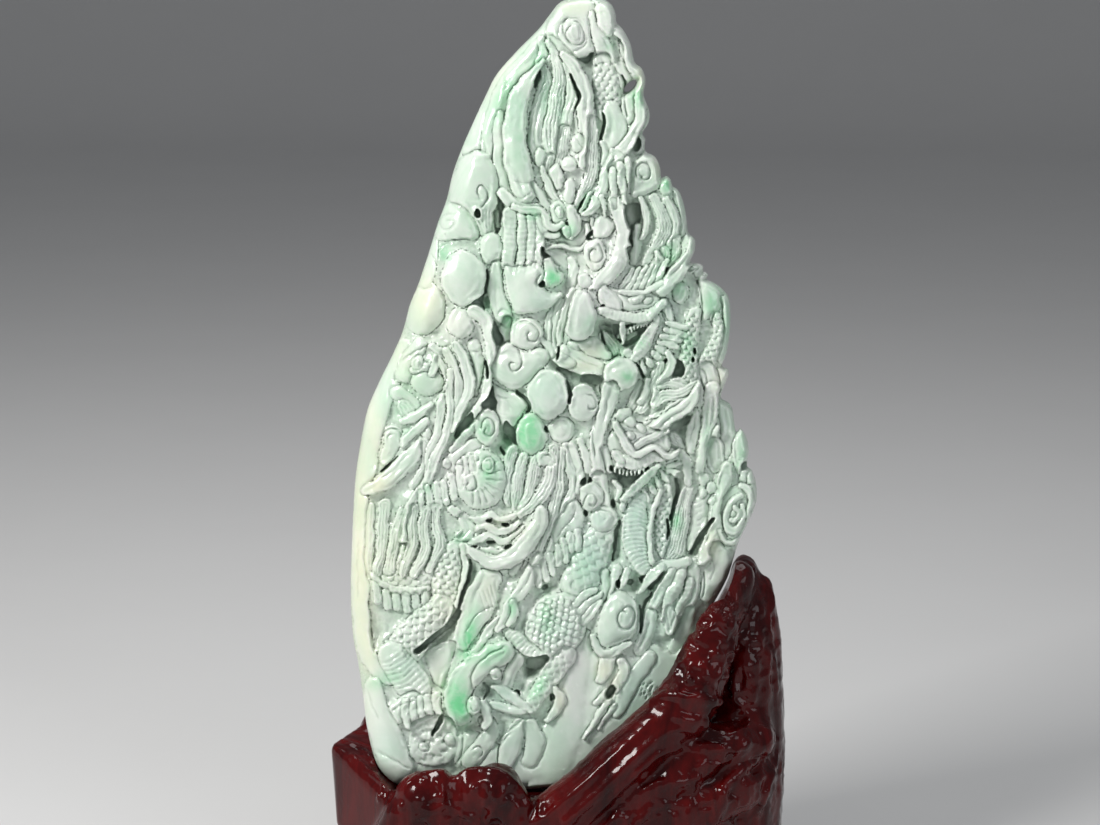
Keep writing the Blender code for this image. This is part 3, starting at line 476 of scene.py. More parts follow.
# ------------------------------------------------------------------ upper left clouds
P([(461, 160), (470, 152), (482, 152), (491, 158), (496, 169), (498, 184), (498, 200), (495, 214), (492, 226), (486, 238),
   (478, 230), (472, 217), (462, 206), (449, 199), (452, 178)], 16.5, rnd=18, lift=0.75)
C([(460, 158), (466, 153), (476, 151), (485, 153)], 1.3, 0.9)
C([(480, 197), (477, 192), (478, 186), (481, 184), (485, 188), (487, 195), (485, 202), (481, 206)], 1.4, 1.6, ends=2)
for k in range(3):
    C([(486 + 3 * k, 205), (483 + 3.5 * k, 218), (484 + 3 * k, 232)], 1.1, 0.6)
PIT(478, 211.5, 3.2, 5.2, -6, 15)
P([(446, 203), (456, 202), (467, 208), (476, 220), (480, 233), (474, 239), (460, 240), (444, 240), (432, 244), (437, 226), (441, 212)],
  13.5, rnd=16, lift=0.75)
SP(449, 222, 11, 1.3, 60, 1, 1.5, 0.9, 1.0)
C([(470, 207), (478, 218), (482, 232), (481, 240)], 1.5, 1.4)
P([(480, 240), (486, 232), (495, 233), (502, 240), (504, 250), (501, 259), (493, 262), (484, 261)], 16, rnd=11)
C([(448, 240), (460, 240), (470, 238), (476, 236)], 1.6, 1.2)
# pearl and edge dome
P([(428, 280), (436, 284), (442, 292), (445, 305), (444, 316), (438, 326), (429, 333), (418, 334), (408, 328), (405, 316), (410, 302), (418, 286)],
  14.5, rnd=18, lift=0.8)
B([(432, 244, 8), (428, 262, 9), (424, 280, 9)], 12, lift=0.6)
E(464, 277, 24, 28, 19.5, 3, lift=0.5)
C([(430, 252), (436, 262), (440, 276), (443, 290), (449, 299), (458, 304)], 1.4, 1.2)
C([(437, 282), (444, 292), (448, 303)], 1.2, 0.8)
# long post between the pearl and the claw
B([(497, 263, 6), (496, 280, 7), (498, 298, 9), (503, 313, 10)], 13.5, lift=0.7, flat=2.8)
C([(505, 262), (505, 280), (508, 296), (512, 310)], 1.2, 0.9)
C([(488, 262), (494, 259), (500, 260)], 1.2, 0.9)
B([(508, 318, 5), (505, 328, 6), (506, 338, 4)], 9)
C([(496, 322), (502, 324), (506, 328)], 1.2, 1.0)
# comma cloud with its shell
P([(466, 340), (475, 337), (482, 344), (485, 354), (484, 368), (481, 384), (475, 396), (469, 392), (472, 378), (474, 364), (469, 352)],
  13.5, rnd=7)
C([(469, 352), (474, 350), (482, 350)], 1.1, 1.1)
C([(470, 355), (475, 364), (477, 376)], 1.1, 0.9)
E(461, 321, 14.5, 15.5, 18.5, 0, lift=0.6)
B([(474, 310, 6.5), (484, 318, 7.5), (489, 332, 6.5), (491, 350, 4.5), (490, 368, 4.5), (487, 386, 4.5), (480, 402, 4), (470, 416, 3.5), (462, 432, 3)],
  18, lift=0.8, tex=strands(2, 0.35))
C([(471, 318), (474, 324), (472, 331), (466, 336), (458, 337)], 1.5, 1.7)
C([(475, 326), (481, 336), (485, 348)], 1.3, 1.1)
hole_poly([(472, 303), (479, 298), (485, 293), (483, 302), (486, 311), (480, 306)], -3, 2.5)
K([(487, 268, 1.3), (489, 278, 1.8), (486, 292, 2.0)], floor=6)
# crevice behind the comma cloud, and the rock round the pearls
hole_poly([(493, 320), (498, 326), (502, 333), (503, 340), (497, 344), (494, 336)], -2, 2.2)
K([(486, 360, 1.5), (488, 368, 2.2), (487, 376, 1.5)], floor=2)
hole_poly([(480, 404), (486, 396), (491, 386), (493, 380), (494, 392), (498, 400), (492, 408), (484, 408)], -1, 2.5)

# ------------------------------------------------------------------ claw over the cloud
K([(499, 196, 2), (501, 208, 4), (498, 222, 4.5), (497, 232, 2.5)], floor=2)
B([(497, 212, 3), (498, 226, 3)], 6, lift=0.5)
B([(502, 192, 6), (512, 203, 6), (524, 206, 5), (536, 205, 5)], 16)
for x0, x1, x2, r in ((509.5, 510, 508, 7.2), (521.5, 522.5, 520, 5.0), (531, 531.5, 529.5, 4.8), (539, 540, 537.5, 4.6)):
    B([(x0, 212, r * 0.9), (x1, 230, r), (x1, 246, r), (x2, 264, r * 0.85)], 17.5, lift=0.85, tex=rings(5.2, 0.55))
hole_poly([(523, 209), (528, 206), (535, 208), (533, 214), (528, 212), (525, 214)], 8, 1.5)
P([(505, 262), (513, 264), (520, 262), (528, 263), (536, 259), (543, 266), (545, 275), (541, 282), (548, 290), (562, 292),
   (556, 302), (546, 308), (530, 312), (518, 312), (511, 305), (507, 290), (504, 275)], 19, rnd=17, lift=0.7)
C([(539, 285), (537, 279), (538, 274), (541, 272)], 1.4, 1.4, ends=2)
for x, y in ((518, 262), (527, 262), (536, 260)):
    C([(x, y - 6), (x, y + 2), (x - 2, y + 8)], 1.3, 1.0)
P([(543, 257), (553, 257), (558, 262), (559, 269), (564, 275), (561, 282), (552, 286), (545, 286), (542, 280), (544, 270)], 17.5, rnd=8)
C([(556, 262), (557, 270), (563, 276), (560, 284), (550, 287)], 1.2, 1.2)
hole_poly([(541, 246), (548, 248), (550, 254), (545, 257), (541, 254)], 2, 2)
PIT(541.5, 283.5, 2.2, 3, 6)

# ------------------------------------------------------------------ upper dragon's face
P([(546, 240), (560, 242), (576, 246), (590, 240), (594, 226), (584, 220), (560, 222), (548, 228)], 12, rnd=8)
for k in range(4):
    C([(548 + 4 * k, 232), (552 + 4 * k, 240), (557 + 4 * k, 244)], 1.0, 0.6)
B([(548, 249, 4), (558, 254, 8), (566, 262, 7)], 11, lift=0.4, flat=4)
B([(571, 258, 4), (573, 270, 6), (570, 286, 5)], 12)
B([(546, 247, 1.8), (560, 244, 2.2), (572, 247, 2.2), (582, 246, 2.2), (590, 236, 2.4), (594, 224, 2.2), (598, 214, 1.6)], 14)
B([(564, 128, 6), (562, 148, 7), (560, 164, 7), (552, 180, 6), (544, 194, 5)], 13.5, tex=strands(4, 0.8, 0.3))
B([(592, 118, 4), (592, 140, 5), (591, 160, 6), (589, 178, 6), (582, 192, 5), (576, 202, 3)], 15.5, tex=strands(4, 0.9, 0.3))
B([(550, 158, 5), (548, 176, 6), (552, 192, 6)], 13, tex=strands(3, 0.7))
B([(533, 182, 3), (539, 192, 4), (545, 203, 4), (552, 210, 3)], 15)
B([(542, 168, 3), (547, 182, 4), (553, 194, 4), (560, 201, 3)], 14.5, tex=strands(2, 0.5))
E(570, 164, 8, 8, 16.5, 10)
P([(550, 170), (558, 163), (563, 170), (563, 182), (558, 190), (553, 181)], 16.5, rnd=5, flat=1.6)
C([(557, 165), (557, 178), (558, 188)], 1.0, 0.5)
E(569.5, 190, 6.5, 12.5, 17, 0)
for k in range(4):
    C([(576 + 1.2 * k, 176), (577.5 + 1.3 * k, 183), (577 + 1.4 * k, 190)], 0.9, 0.6)
P([(550, 203), (556, 199), (563, 201), (568, 207), (569, 216), (562, 222), (553, 222), (549, 214)], 15.5, rnd=5)
E(559.3, 210, 4.6, 5.8, 17.5, 10, lift=0.9, groove=1.8, gd=1.6)
E(559.3, 210, 2.2, 3.0, 18.0, 10, lift=0.6, groove=0.9, gd=0.7)
B([(571, 206, 4), (574, 216, 6), (575, 226, 6.5), (569, 234, 5)], 17)
P([(561, 226), (566, 223), (570, 228), (570, 234), (566, 238), (562, 233)], 18, rnd=5)
C([(574, 208), (577, 216), (580, 222)], 1.1, 0.9)
B([(513, 205, 3), (526, 208, 4), (537, 209, 5), (543, 216, 5), (547, 224, 4.5), (556, 226, 4), (563, 222, 3)], 18, lift=0.9, tex=strands(2, 0.35))
B([(538, 214, 2.5), (541, 226, 3.2), (548, 234, 3.5), (557, 234, 3)], 16)
hole_poly([(577, 212), (580, 203), (585, 197), (588, 198), (584, 207), (579, 214)], 9, 1.5)
B([(590, 192, 2.2), (586, 202, 2.5), (580, 211, 2)], 15.5)
fringe([(596, 214, 597, 222, 2, 1.2), (592, 218, 592, 228, 2.2, 1.2), (587, 224, 587, 233, 2.2, 1.2)], 14)
K([(592, 230, 2.5), (588, 236, 2.5), (591, 238, 2)], floor=4)

# ------------------------------------------------------------------ curls right of the face, crescent
P([(597, 216), (606, 213), (613, 218), (616, 226), (611, 234), (602, 237), (595, 237), (592, 228)], 15.5, rnd=9)
C([(600, 236), (608, 235), (614, 228), (614, 221), (609, 218)], 1.2, 1.0)
B([(613, 200, 6), (620, 212, 8), (623, 228, 8.5), (622, 246, 8.5), (617, 262, 8.5), (608, 274, 8), (598, 281, 6), (588, 285, 3.5)],
  19, lift=0.75, flat=2.6)
C([(618, 230), (614, 236), (613, 242)], 1.0, 0.5)
C([(604, 210), (602, 204), (604, 198)], 1.6, 1.2)
P([(583, 248), (588, 240), (597, 237), (604, 242), (607, 253), (604, 264), (597, 270), (589, 268), (584, 258)], 17.5, rnd=11)
SP(595, 253, 9.5, 1.15, 80, -1, 1.4, 1.5, 1.15, inner=0.4)
C([(586, 244), (592, 250), (592, 244)], 1.1, 0.9)
E(584, 280, 7.3, 7.6, 19, 0)
# small claw holding the crescent's top
for a, b, c_, top in (((613, 170), (613.5, 184), (612, 198), 18), ((621, 164), (622, 180), (623.5, 200), 18.5), ((628, 158), (630, 174), (633, 192), 18)):
    B([(a[0], a[1], 3.6), (b[0], b[1], 4.3), (c_[0], c_[1], 3.0)], top, lift=0.9, tex=rings(5, 0.5))
B([(602, 196, 2.6), (604, 206, 2.4), (606, 214, 1.2)], 17)
B([(612, 199, 3.2), (615, 206, 2.2)], 17)
B([(623, 196, 2.8), (626, 202, 1.8)], 18)

# ------------------------------------------------------------------ curl disc, knob and hair at the right
B([(684, 208, 4), (688, 222, 4.5), (690, 234, 3.5)], 7)
P([(632, 166), (638, 158), (645, 153), (652, 155), (658, 162), (661, 175), (660, 186), (655, 191), (645, 194), (635, 197), (630, 190)],
  14.5, rnd=9)
C([(638, 178), (636, 172), (638, 165), (644, 162), (649, 167), (649, 175), (644, 179), (641, 175)], 1.5, 1.7, ends=2)
E(643.5, 171, 4, 4.6, 15.2, 0, lift=0.5, groove=1.0, gd=0.5)
C([(657, 190), (646, 194), (638, 198), (628, 202)], 1.4, 1.5)
B([(629, 248, 3), (631, 258, 3)], 8)
hole_poly([(625, 206), (634, 202), (641, 206), (640, 222), (632, 229), (626, 222)], 4, 3)
K([(632, 226, 1.6), (630, 236, 2.4), (632, 246, 1.6)], floor=1)
B([(638, 226, 4), (638, 240, 5), (634, 254, 5), (632, 262, 4)], 11, lift=0.8)
B([(677, 190, 4.5), (680, 204, 6), (680, 220, 6), (678, 234, 6)], 11, tex=strands(2, 0.5))
B([(667, 198, 4), (673, 216, 5), (673, 234, 4.5), (666, 246, 4), (658, 252, 3)], 13.5, tex=strands(2, 0.5))
B([(654, 196, 4.5), (660, 210, 6), (664, 226, 6.5), (660, 240, 5.5), (651, 252, 4.5), (642, 266, 3)], 14.5, tex=strands(4, 0.8, 0.2))
B([(641, 197, 3), (645, 210, 4), (647, 225, 3.5), (643, 237, 2.5)], 14, tex=strands(2, 0.5))
E(666, 186.5, 6.4, 9.5, 13.5, 0, lift=0.8)
C([(661, 191), (663, 195), (669, 196)], 1.1, 0.8)
for k in range(4):
    C([(662 + 4 * k, 236 + 5 * k), (666 + 4 * k, 246 + 5 * k), (664 + 4 * k, 258 + 5 * k)], 1.0, 0.7)
B([(676, 240, 5), (676, 255, 6), (668, 266, 5)], 12.5, tex=strands(4, 0.8))
B([(664, 247, 4), (666, 258, 5), (658, 268, 4)], 13.5, tex=strands(3, 0.8))
B([(657, 252, 2.5), (661, 262, 5), (659, 272, 5), (656, 281, 2.5)], 17, lift=0.8)
C([(659, 256), (660, 266), (657, 276)], 1.2, 0.8)
PIT(668.5, 270, 2.5, 3.5, 3)
B([(691, 232, 2.6), (692, 245, 4.6), (688, 257, 6), (680, 268, 7), (671, 279, 7.5), (662, 288, 7.5)], 19.5, lift=0.85)
C([(688, 240), (688, 252), (680, 264), (670, 275)], 1.0, 0.5)

# ------------------------------------------------------------------ right-hand dragon: back, loop and body
for x0, y0, x1, y1, r in ((690, 269, 697, 264, 2.6), (694, 274, 702, 269, 2.8), (698, 281, 706, 275.5, 3)):
    B([(x0, y0, r), (x1, y1, r)], 8.5, lift=0.8)
P([(699, 276), (706, 276), (713, 283), (721, 292), (722, 303), (717, 312), (709, 318), (702, 320), (699, 306), (697, 290)], 14, rnd=10)
C([(690, 270), (697, 281), (701, 297), (702, 318)], 1.5, 1.6)
E(680, 292, 8.5, 12, 15.5, 0, lift=0.85)
C([(684, 284), (687, 292), (685, 300), (680, 304)], 1.2, 1.0)
C([(690, 303), (690, 313)], 2.0, 1.6)
B([(715, 316, 6), (719, 332, 7), (714, 348, 7.5), (706, 362, 7.5)], 13, lift=0.8, tex=scales(6.5, 0.7))
B([(724, 298, 4), (727.5, 318, 5), (727, 338, 5), (721, 358, 5)], 11, lift=0.85)
C([(722, 300), (722, 316), (722, 334), (716, 352)], 1.3, 1.2)
B([(695, 312, 6), (693, 328, 8.5), (690, 344, 9.5), (688, 362, 10), (690, 380, 8)], 15, lift=0.8, tex=scales(7.5, 0.8))
C([(714, 310), (711, 325), (706, 338), (702, 352)], 2.0, 2.2)
PIT(695, 350, 2.0, 3.2, 3)
PIT(693, 358, 1.6, 2.6, 3)
P([(713, 368), (722, 365), (728, 368), (728, 375), (722, 388), (716, 397), (710, 392), (711, 380)], 8.5, rnd=6)
B([(707, 368, 8), (712, 384, 8), (715, 398, 6)], 10.5, lift=0.6, flat=3)
C([(700, 366), (706, 372), (708, 384), (706, 394)], 1.4, 1.4)
C([(716, 372), (720, 380), (718, 390)], 1.1, 0.8)

# ------------------------------------------------------------------ right-hand dragon's upper head
B([(640, 268, 5), (634, 280, 7), (626, 290, 7)], 12)
for k in range(6):
    x = 619 + 7.2 * k
    B([(x, 291 - 1.2 * k, 3.6), (x + 7, 279 - 1.6 * k, 3.8), (x + 13, 268 - 1.8 * k, 2.4)], 15 + 0.2 * k, lift=0.9, tex=strands(2, 0.4))
B([(662, 303, 7), (668, 312, 6), (672, 320, 4)], 14)
B([(660, 304, 4), (668, 310, 4), (672, 318, 2.4)], 16)
for k in range(4):
    C([(603 + 4.6 * k, 317), (604 + 4.6 * k, 324), (603 + 4.6 * k, 331)], 1.1, 1.0)
P([(597, 288), (606, 283), (617, 287), (628, 292), (640, 288), (652, 292), (660, 300), (655, 308), (640, 309), (625, 310), (610, 306), (600, 300)],
  16.5, rnd=8)
B([(620, 290, 2), (633, 291, 3), (645, 291, 3), (655, 285, 3.5), (661, 281, 3)], 18.4, tex=strands(2, 0.3))
B([(603, 288, 6), (609, 297, 8.5), (616, 304, 7.5)], 18.5, lift=0.8)
C([(599, 295), (605, 299), (608, 305)], 1.2, 0.9)
PIT(604, 303, 2.0, 1.6, 11)
E(637, 297, 8, 4.4, 18, 8, lift=0.8, groove=1.5, gd=1.6)
E(636.5, 297, 3.6, 3.0, 18.6, 0, lift=0.7, groove=1.0, gd=0.9)
E(648, 300, 4.5, 3.2, 17.5, 20, lift=0.8)
B([(601, 308, 4.5), (612, 313, 5.5), (626, 316, 5.6), (641, 317, 5.6), (653, 311, 5), (663, 302, 4)], 18.3, lift=0.85, tex=plates(4.2, 0.6))
hole_poly([(612, 324), (622, 323), (634, 325), (645, 322), (650, 327), (645, 334), (636, 341), (626, 345), (620, 340), (614, 332)], 3, 3)
B([(620, 334, 3), (627, 336, 4), (634, 333, 2.5)], 8)
for k in range(9):
    t = k / 8.0
    x = 627 + 26 * t
    y = 332 - 8.5 * t - 5.0 * math.sin(math.pi * t) * 0.4
    B([(x, y - 3.2, 1.7), (x, y + 0.6, 1.2)], 15, lift=1.0, groove=0.8, gd=0.8)
B([(622, 323, 3.6), (623, 331, 3), (622.5, 341, 1.1)], 17, lift=1.0)
B([(657, 317, 3.5), (652, 328, 5), (646, 339, 6.2), (640, 349, 6.4), (632, 358, 4.5)], 17.3, lift=0.85, tex=plates(4.2, 0.6))
INNER = [(668, 322), (664, 328), (660, 334), (658, 340), (655, 345), (651, 350), (646, 355), (641, 360)]
OUTER = [(687, 326), (685, 333), (680, 339), (676, 345), (668, 351), (659, 355), (652, 362), (645, 369)]
for (a, b), (c_, d_) in zip(INNER, OUTER):
    B([(a, b, 2.4), ((a + c_) / 2, (b + d_) / 2, 3.9), (c_, d_, 3.2)], 15.6, lift=0.9, groove=1.2, gd=1.3, tex=strands(2, 0.35))
K([(672, 352, 1.6), (662, 362, 2.2), (654, 370, 2.0)], floor=5)
E(628, 351, 5, 5.2, 16.8)
K([(634, 362, 1.6), (640, 368, 2.2), (644, 376, 2)], floor=4)

# ------------------------------------------------------------------ bean, pearls and the cloud band between them
B([(604, 336, 6), (612, 344, 7), (616, 352, 6)], 9.5, lift=0.7, tex=strands(3, 0.6))
PIT(607, 329, 6.5, 2.6, -2, -28)
K([(601, 326, 1.5), (602, 336, 2.0), (604, 346, 1.6)], floor=1)
B([(574, 344, 7), (586, 344, 10), (597, 350, 10.5), (606, 354, 6)], 14, lift=0.8)
C([(577, 342), (584, 350), (593, 356), (603, 358), (613, 357), (620, 350)], 1.5, 1.5)
B([(556, 348, 8), (566, 355, 11), (580, 361, 11.5), (594, 366, 8.5), (606, 369, 5)], 15.3, lift=0.75)
B([(554, 352, 5), (562, 358, 6.5), (570, 361, 5)], 16.4, lift=0.8)
C([(575, 354), (588, 362), (601, 366)], 1.2, 0.8)
hole_poly([(556, 364), (564, 366), (571, 370), (572, 379), (564, 375), (557, 371)], -4, 2)
hole_poly([(580, 374), (590, 373), (602, 376), (603, 381), (592, 384), (582, 383)], -4, 2.2)
E(579.5, 314, 18, 25.5, 22, 0, lift=0.5)
E(621, 372.5, 17, 17.3, 20.8, 0, lift=0.5)
E(583, 401, 16, 19, 18.8, 0, lift=0.55)
C([(586, 392), (593, 393), (597, 399), (595, 406), (589, 407), (588, 402)], 1.5, 1.5)
E(548, 392, 21, 26, 20.2, 0, lift=0.5)
K([(566, 378, 1.5), (570, 388, 2.4), (569, 400, 1.6)], floor=4)
K([(600, 384, 1.5), (603, 392, 2.0), (603, 404, 1.5)], floor=5)
B([(612, 387, 9), (609, 400, 9), (603, 418, 8), (597, 438, 7), (596, 456, 7.5), (598, 472, 9)], 17, lift=0.75, flat=2.6)
C([(599, 404), (595, 420), (593, 440), (594, 457)], 1.3, 1.1)
C([(608, 396), (606, 410), (602, 424)], 1.2, 0.6)

# ------------------------------------------------------------------ lobes in the centre
B([(572, 290, 3.5), (565, 305, 5.5), (560, 322, 7), (557, 338, 7)], 13.5, tex=strands(2, 0.5))
B([(560, 300, 4), (552, 318, 6.5), (549, 336, 7.5), (550, 352, 6)], 13, tex=strands(2, 0.5))
C([(556, 300), (552, 318), (551, 336), (551, 352)], 1.3, 1.0)
K([(558, 345, 1.4), (557, 356, 2.0)], floor=5)
P([(497, 349), (503, 343), (511, 341), (518, 347), (528, 348), (538, 344), (549, 350), (548, 360), (540, 370), (530, 380), (520, 386),
   (510, 388), (501, 384), (494, 377), (492, 364)], 17, rnd=14)
C([(518, 347), (521, 354), (522, 361), (519, 367), (513, 369), (510, 365), (512, 360), (516, 361)], 1.5, 1.8, ends=2)
P([(509, 331), (514, 321), (523, 316), (534, 317), (541, 324), (542, 335), (536, 343), (526, 347), (516, 345), (510, 340)], 16.5, rnd=11)
C([(519, 320), (527, 320), (534, 324), (538, 331), (535, 338), (529, 339), (526, 334), (529, 330)], 1.5, 1.7, ends=2)
B([(541, 338, 3), (548, 344, 4), (551, 352, 3)], 13)
P([(492, 383), (500, 387), (510, 390), (519, 391), (527, 400), (524, 410), (518, 420), (508, 428), (500, 422), (496, 411), (495, 398)],
  14.5, rnd=11)
C([(494, 392), (503, 395), (512, 396)], 1.2, 0.9)
K([(516, 390, 1.4), (524, 396, 2.4), (529, 404, 2.6), (527, 413, 1.6)], floor=3)
hole_poly([(505, 419), (512, 424), (520, 432), (524, 441), (518, 445), (510, 438), (503, 430)], -1, 2.5)
K([(501, 448, 1.5), (506, 456, 2.4), (504, 464, 1.5)], floor=3)
E(531.5, 432.5, 15.5, 21.5, 16.5, 0, lift=0.7)
C([(545, 421), (547, 433), (545, 444), (538, 452)], 1.3, 1.2)
PIT(546, 427, 2.0, 3.2, 5)
E(562, 428, 14, 13.5, 14.3, 0, lift=0.7)
C([(572, 417), (578, 421), (579, 430), (574, 437)], 1.3, 1.4)
C([(556, 420), (562, 418), (568, 421)], 1.2, 0.8)

# ------------------------------------------------------------------ right-middle dragon: edge pieces, column, rose
B([(720, 404, 5), (728, 420, 8), (729, 440, 8), (723, 456, 6)], 8.5, lift=0.7)
E(740.5, 452, 8.2, 23, 11, 0, lift=0.7)
C([(736, 436), (735, 452), (738, 466)], 1.2, 0.8)
B([(713, 386, 7), (711, 402, 8), (709, 420, 7.5), (705, 440, 6), (701, 455, 5.5), (700, 470, 4.5)], 14, lift=0.75)
C([(714, 392), (713, 410), (709, 430), (704, 448)], 1.2, 0.8)
B([(718, 426, 3), (714, 437, 3.2), (708, 446, 2)], 14.5)
E(715, 454.5, 9.5, 20.5, 10.5, 0, lift=0.5)
E(715, 454.5, 6.0, 15.5, 10.3, 0, lift=0.6, groove=1.4, gd=1.0)
B([(744, 472, 4), (743, 484, 4)], 10)
B([(751, 474, 4), (751, 486, 4)], 10)
B([(753, 488, 4), (755, 504, 4), (751, 520, 4.4), (746, 534, 4.2)], 9, lift=0.8)
B([(727, 466, 5.5), (724, 481, 7.5), (719, 500, 6.5), (716, 518, 6.5), (714, 536, 8), (708, 551, 8), (703, 560, 4.5)], 14.2, lift=0.75)
C([(722, 472), (717, 490), (713, 508), (710, 526), (706, 544)], 1.2, 0.8)
E(736, 512, 15.5, 28, 13, 0, lift=0.5)
B([(741, 485, 2.6), (750, 491, 3), (752, 503, 3), (748, 513, 3), (749, 524, 3), (743, 533, 3), (734, 541, 3), (725, 541, 3), (720, 531, 2.6)],
  13.6, lift=1.0, groove=1.4)
B([(742, 495, 2.6), (734, 499, 3.2), (728, 508, 3.4), (726, 520, 3.4), (730, 530, 3.2), (738, 527, 3), (743, 516, 3), (743, 504, 2.6)],
  14.4, lift=1.0, groove=1.5)
B([(735, 506, 2.4), (740, 512, 2.8), (737, 519, 3), (731, 520, 2.4)], 14.8, lift=1.0, groove=1.5)
hole_poly([(741, 470), (748, 468), (749, 462), (745, 460), (741, 464)], -2, 1.6)
# rock shelf under the column
B([(705, 488, 7), (701, 508, 9), (697, 528, 8), (691, 546, 5)], 11, lift=0.7)
for k in range(9):
    C([(693 + 0.6 * k, 496 + 6.0 * k), (700, 494 + 6.0 * k), (708 - 0.9 * k, 490 + 6.0 * k)], 0.9, 0.6)
for x, y, r in ((704, 478, 5.5), (711, 487, 5), (703, 492, 4.2), (713, 500, 4)):
    E(x, y, r, r * 1.15, 12.6)
K([(713, 518, 1.8), (706, 530, 3.0), (699, 541, 3.2), (690, 552, 2.2)], floor=0)
B([(718, 548, 8), (722, 560, 9), (714, 577, 11), (705, 594, 8)], 10.2, lift=0.55, flat=3)
B([(694, 562, 6), (692, 582, 8), (689, 600, 7), (684, 614, 5)], 12, lift=0.6, flat=3)
C([(703, 563), (705, 582), (701, 600)], 1.6, 1.6)
C([(712, 556), (716, 568), (710, 582)], 1.2, 0.7)

# ------------------------------------------------------------------ right-middle dragon: mane, horn, hair
B([(640, 384, 5), (634, 398, 6), (627, 412, 5.5)], 12, tex=strands(2, 0.5))
B([(660, 362, 5), (656, 376, 6.5), (649, 392, 6.5), (641, 408, 5)], 14, tex=strands(3, 0.7, 0.2))
hole_poly([(676, 358), (682, 362), (684, 372), (678, 378), (672, 376), (674, 366)], 3, 2.5)
B([(668, 351, 3), (672, 361, 3.8), (668, 371, 4), (661, 380, 3.4), (656, 392, 3.2), (651, 402, 2.4)], 16.2)
B([(648, 378, 3), (645, 390, 3.6), (639, 400, 3)], 15.2)
B([(660, 385, 4), (672, 381, 6), (685, 385, 6.5), (694, 389, 4)], 14.5, tex=strands(3, 0.6))
B([(654, 403, 4), (665, 394, 5.6), (680, 393, 6.4), (692, 386, 5.2), (699, 379, 2)], 16.2, tex=strands(3, 0.7, 0.2))
E(624, 415, 8.3, 8.3, 17.4)
B([(662, 420, 3), (669, 409, 5), (681, 402, 5.4), (694, 394, 3)], 17.3, tex=strands(2, 0.5))
B([(640, 430, 5), (648, 424, 6), (660, 420, 5)], 15)
hole_poly([(668, 428), (676, 422), (685, 416), (691, 416), (689, 423), (681, 429), (673, 432)], 0, 2)
B([(696, 406, 2), (695, 420, 6), (692, 435, 7), (690, 449, 4)], 12.5, lift=0.8)
C([(695, 412), (693, 428), (690, 442)], 1.2, 1.0)
B([(665, 435, 6), (674, 440, 7), (682, 448, 5)], 10, tex=strands(5, 0.8))
B([(639, 439, 4.6), (651, 429, 6.4), (667, 418, 6.8), (683, 407, 6.8), (695, 394, 5), (700, 381, 2.2)], 20, lift=0.85)
C([(650, 432), (666, 420), (682, 408), (692, 396)], 1.0, 0.5)

# ------------------------------------------------------------------ right-middle dragon: face
P([(612, 428), (622, 421), (634, 419), (646, 423), (658, 427), (668, 434), (670, 446), (660, 456), (646, 458), (630, 460), (616, 456),
   (606, 446)], 15.8, rnd=8)
E(631, 421, 6.5, 5.2, 18, 0)
E(641, 426, 5.2, 4.2, 17.6, -20)
for k in range(5):
    C([(612 + 8 * k, 430 + 2.0 * k), (618 + 8 * k, 426 + 2.2 * k), (624 + 8 * k, 428 + 2.2 * k)], 1.0, 0.8)
E(629, 435.5, 5.6, 4.4, 17.6, 0, lift=0.9, groove=1.8, gd=1.8)
E(629, 435.5, 2.6, 2.4, 18.4, 0, lift=0.8, groove=1.0, gd=0.9)
B([(636, 445, 3), (646, 438, 4), (656, 434, 4.2), (667, 429, 3)], 17.5, tex=strands(2, 0.5))
B([(604, 448, 4.5), (608, 458, 5), (611, 469, 3.2)], 14.5)
PIT(612.5, 467, 2.2, 3.0, 5)
B([(617, 453, 5), (628, 460, 7), (640, 461, 7.5), (652, 456, 5.5), (664, 455, 3.5)], 17.8, lift=0.8, tex=plates(4.5, 0.6))
B([(615, 451, 3), (621, 458, 4.5), (620, 465, 3.5)], 18.4)
C([(616, 458), (620, 462), (625, 462)], 1.2, 1.0)
hole_poly([(614, 468), (624, 467), (636, 470), (648, 466), (652, 470), (645, 477), (635, 484), (626, 487), (618, 480)], 3, 3)
for k in range(8):
    t = k / 7.0
    B([(616 + 27 * t, 466.5 + 3.0 * math.sin(math.pi * t), 1.8), (616 + 27 * t, 470.5 + 3.0 * math.sin(math.pi * t), 1.1)], 15.5, lift=1.0,
      groove=0.7, gd=0.7)
B([(658, 464, 3.4), (651, 471, 4.6), (643, 478, 5), (633, 488, 4.4), (623, 498, 3.2)], 18.2, lift=0.85, tex=plates(4.2, 0.55))
B([(615, 481, 2.2), (620, 488, 3.4), (617, 497, 2.2)], 15.5)
INNER = [(622, 501), (629, 498), (636, 494), (643, 488), (649, 482), (655, 476), (661, 470), (667, 465)]
OUTER = [(622, 508), (631, 508), (640, 504), (649, 499), (657, 493), (663, 487), (669, 480), (675, 473)]
for (a, b), (c_, d_) in zip(INNER, OUTER):
    B([(a, b, 2.2), ((a + c_) / 2, (b + d_) / 2, 3.6), (c_, d_, 2.4)], 15.8, lift=0.95, groove=1.1, gd=1.2)
for a, b, c_, d_ in ((668, 470, 679, 470), (668, 464, 680, 462), (668, 458, 682, 454)):
    B([(a, b, 2.8), ((a + c_) / 2, (b + d_) / 2, 3.2), (c_, d_, 1.4)], 14.5, lift=0.95)
B([(616, 423, 3), (622, 434, 3.4), (628, 446, 3.7), (636, 452.5, 3.8), (646, 449.5, 3.5), (654, 446, 3.3), (662, 450.5, 3.4), (670, 454, 3.2),
   (679, 449, 1.6)], 20.5, lift=0.95)

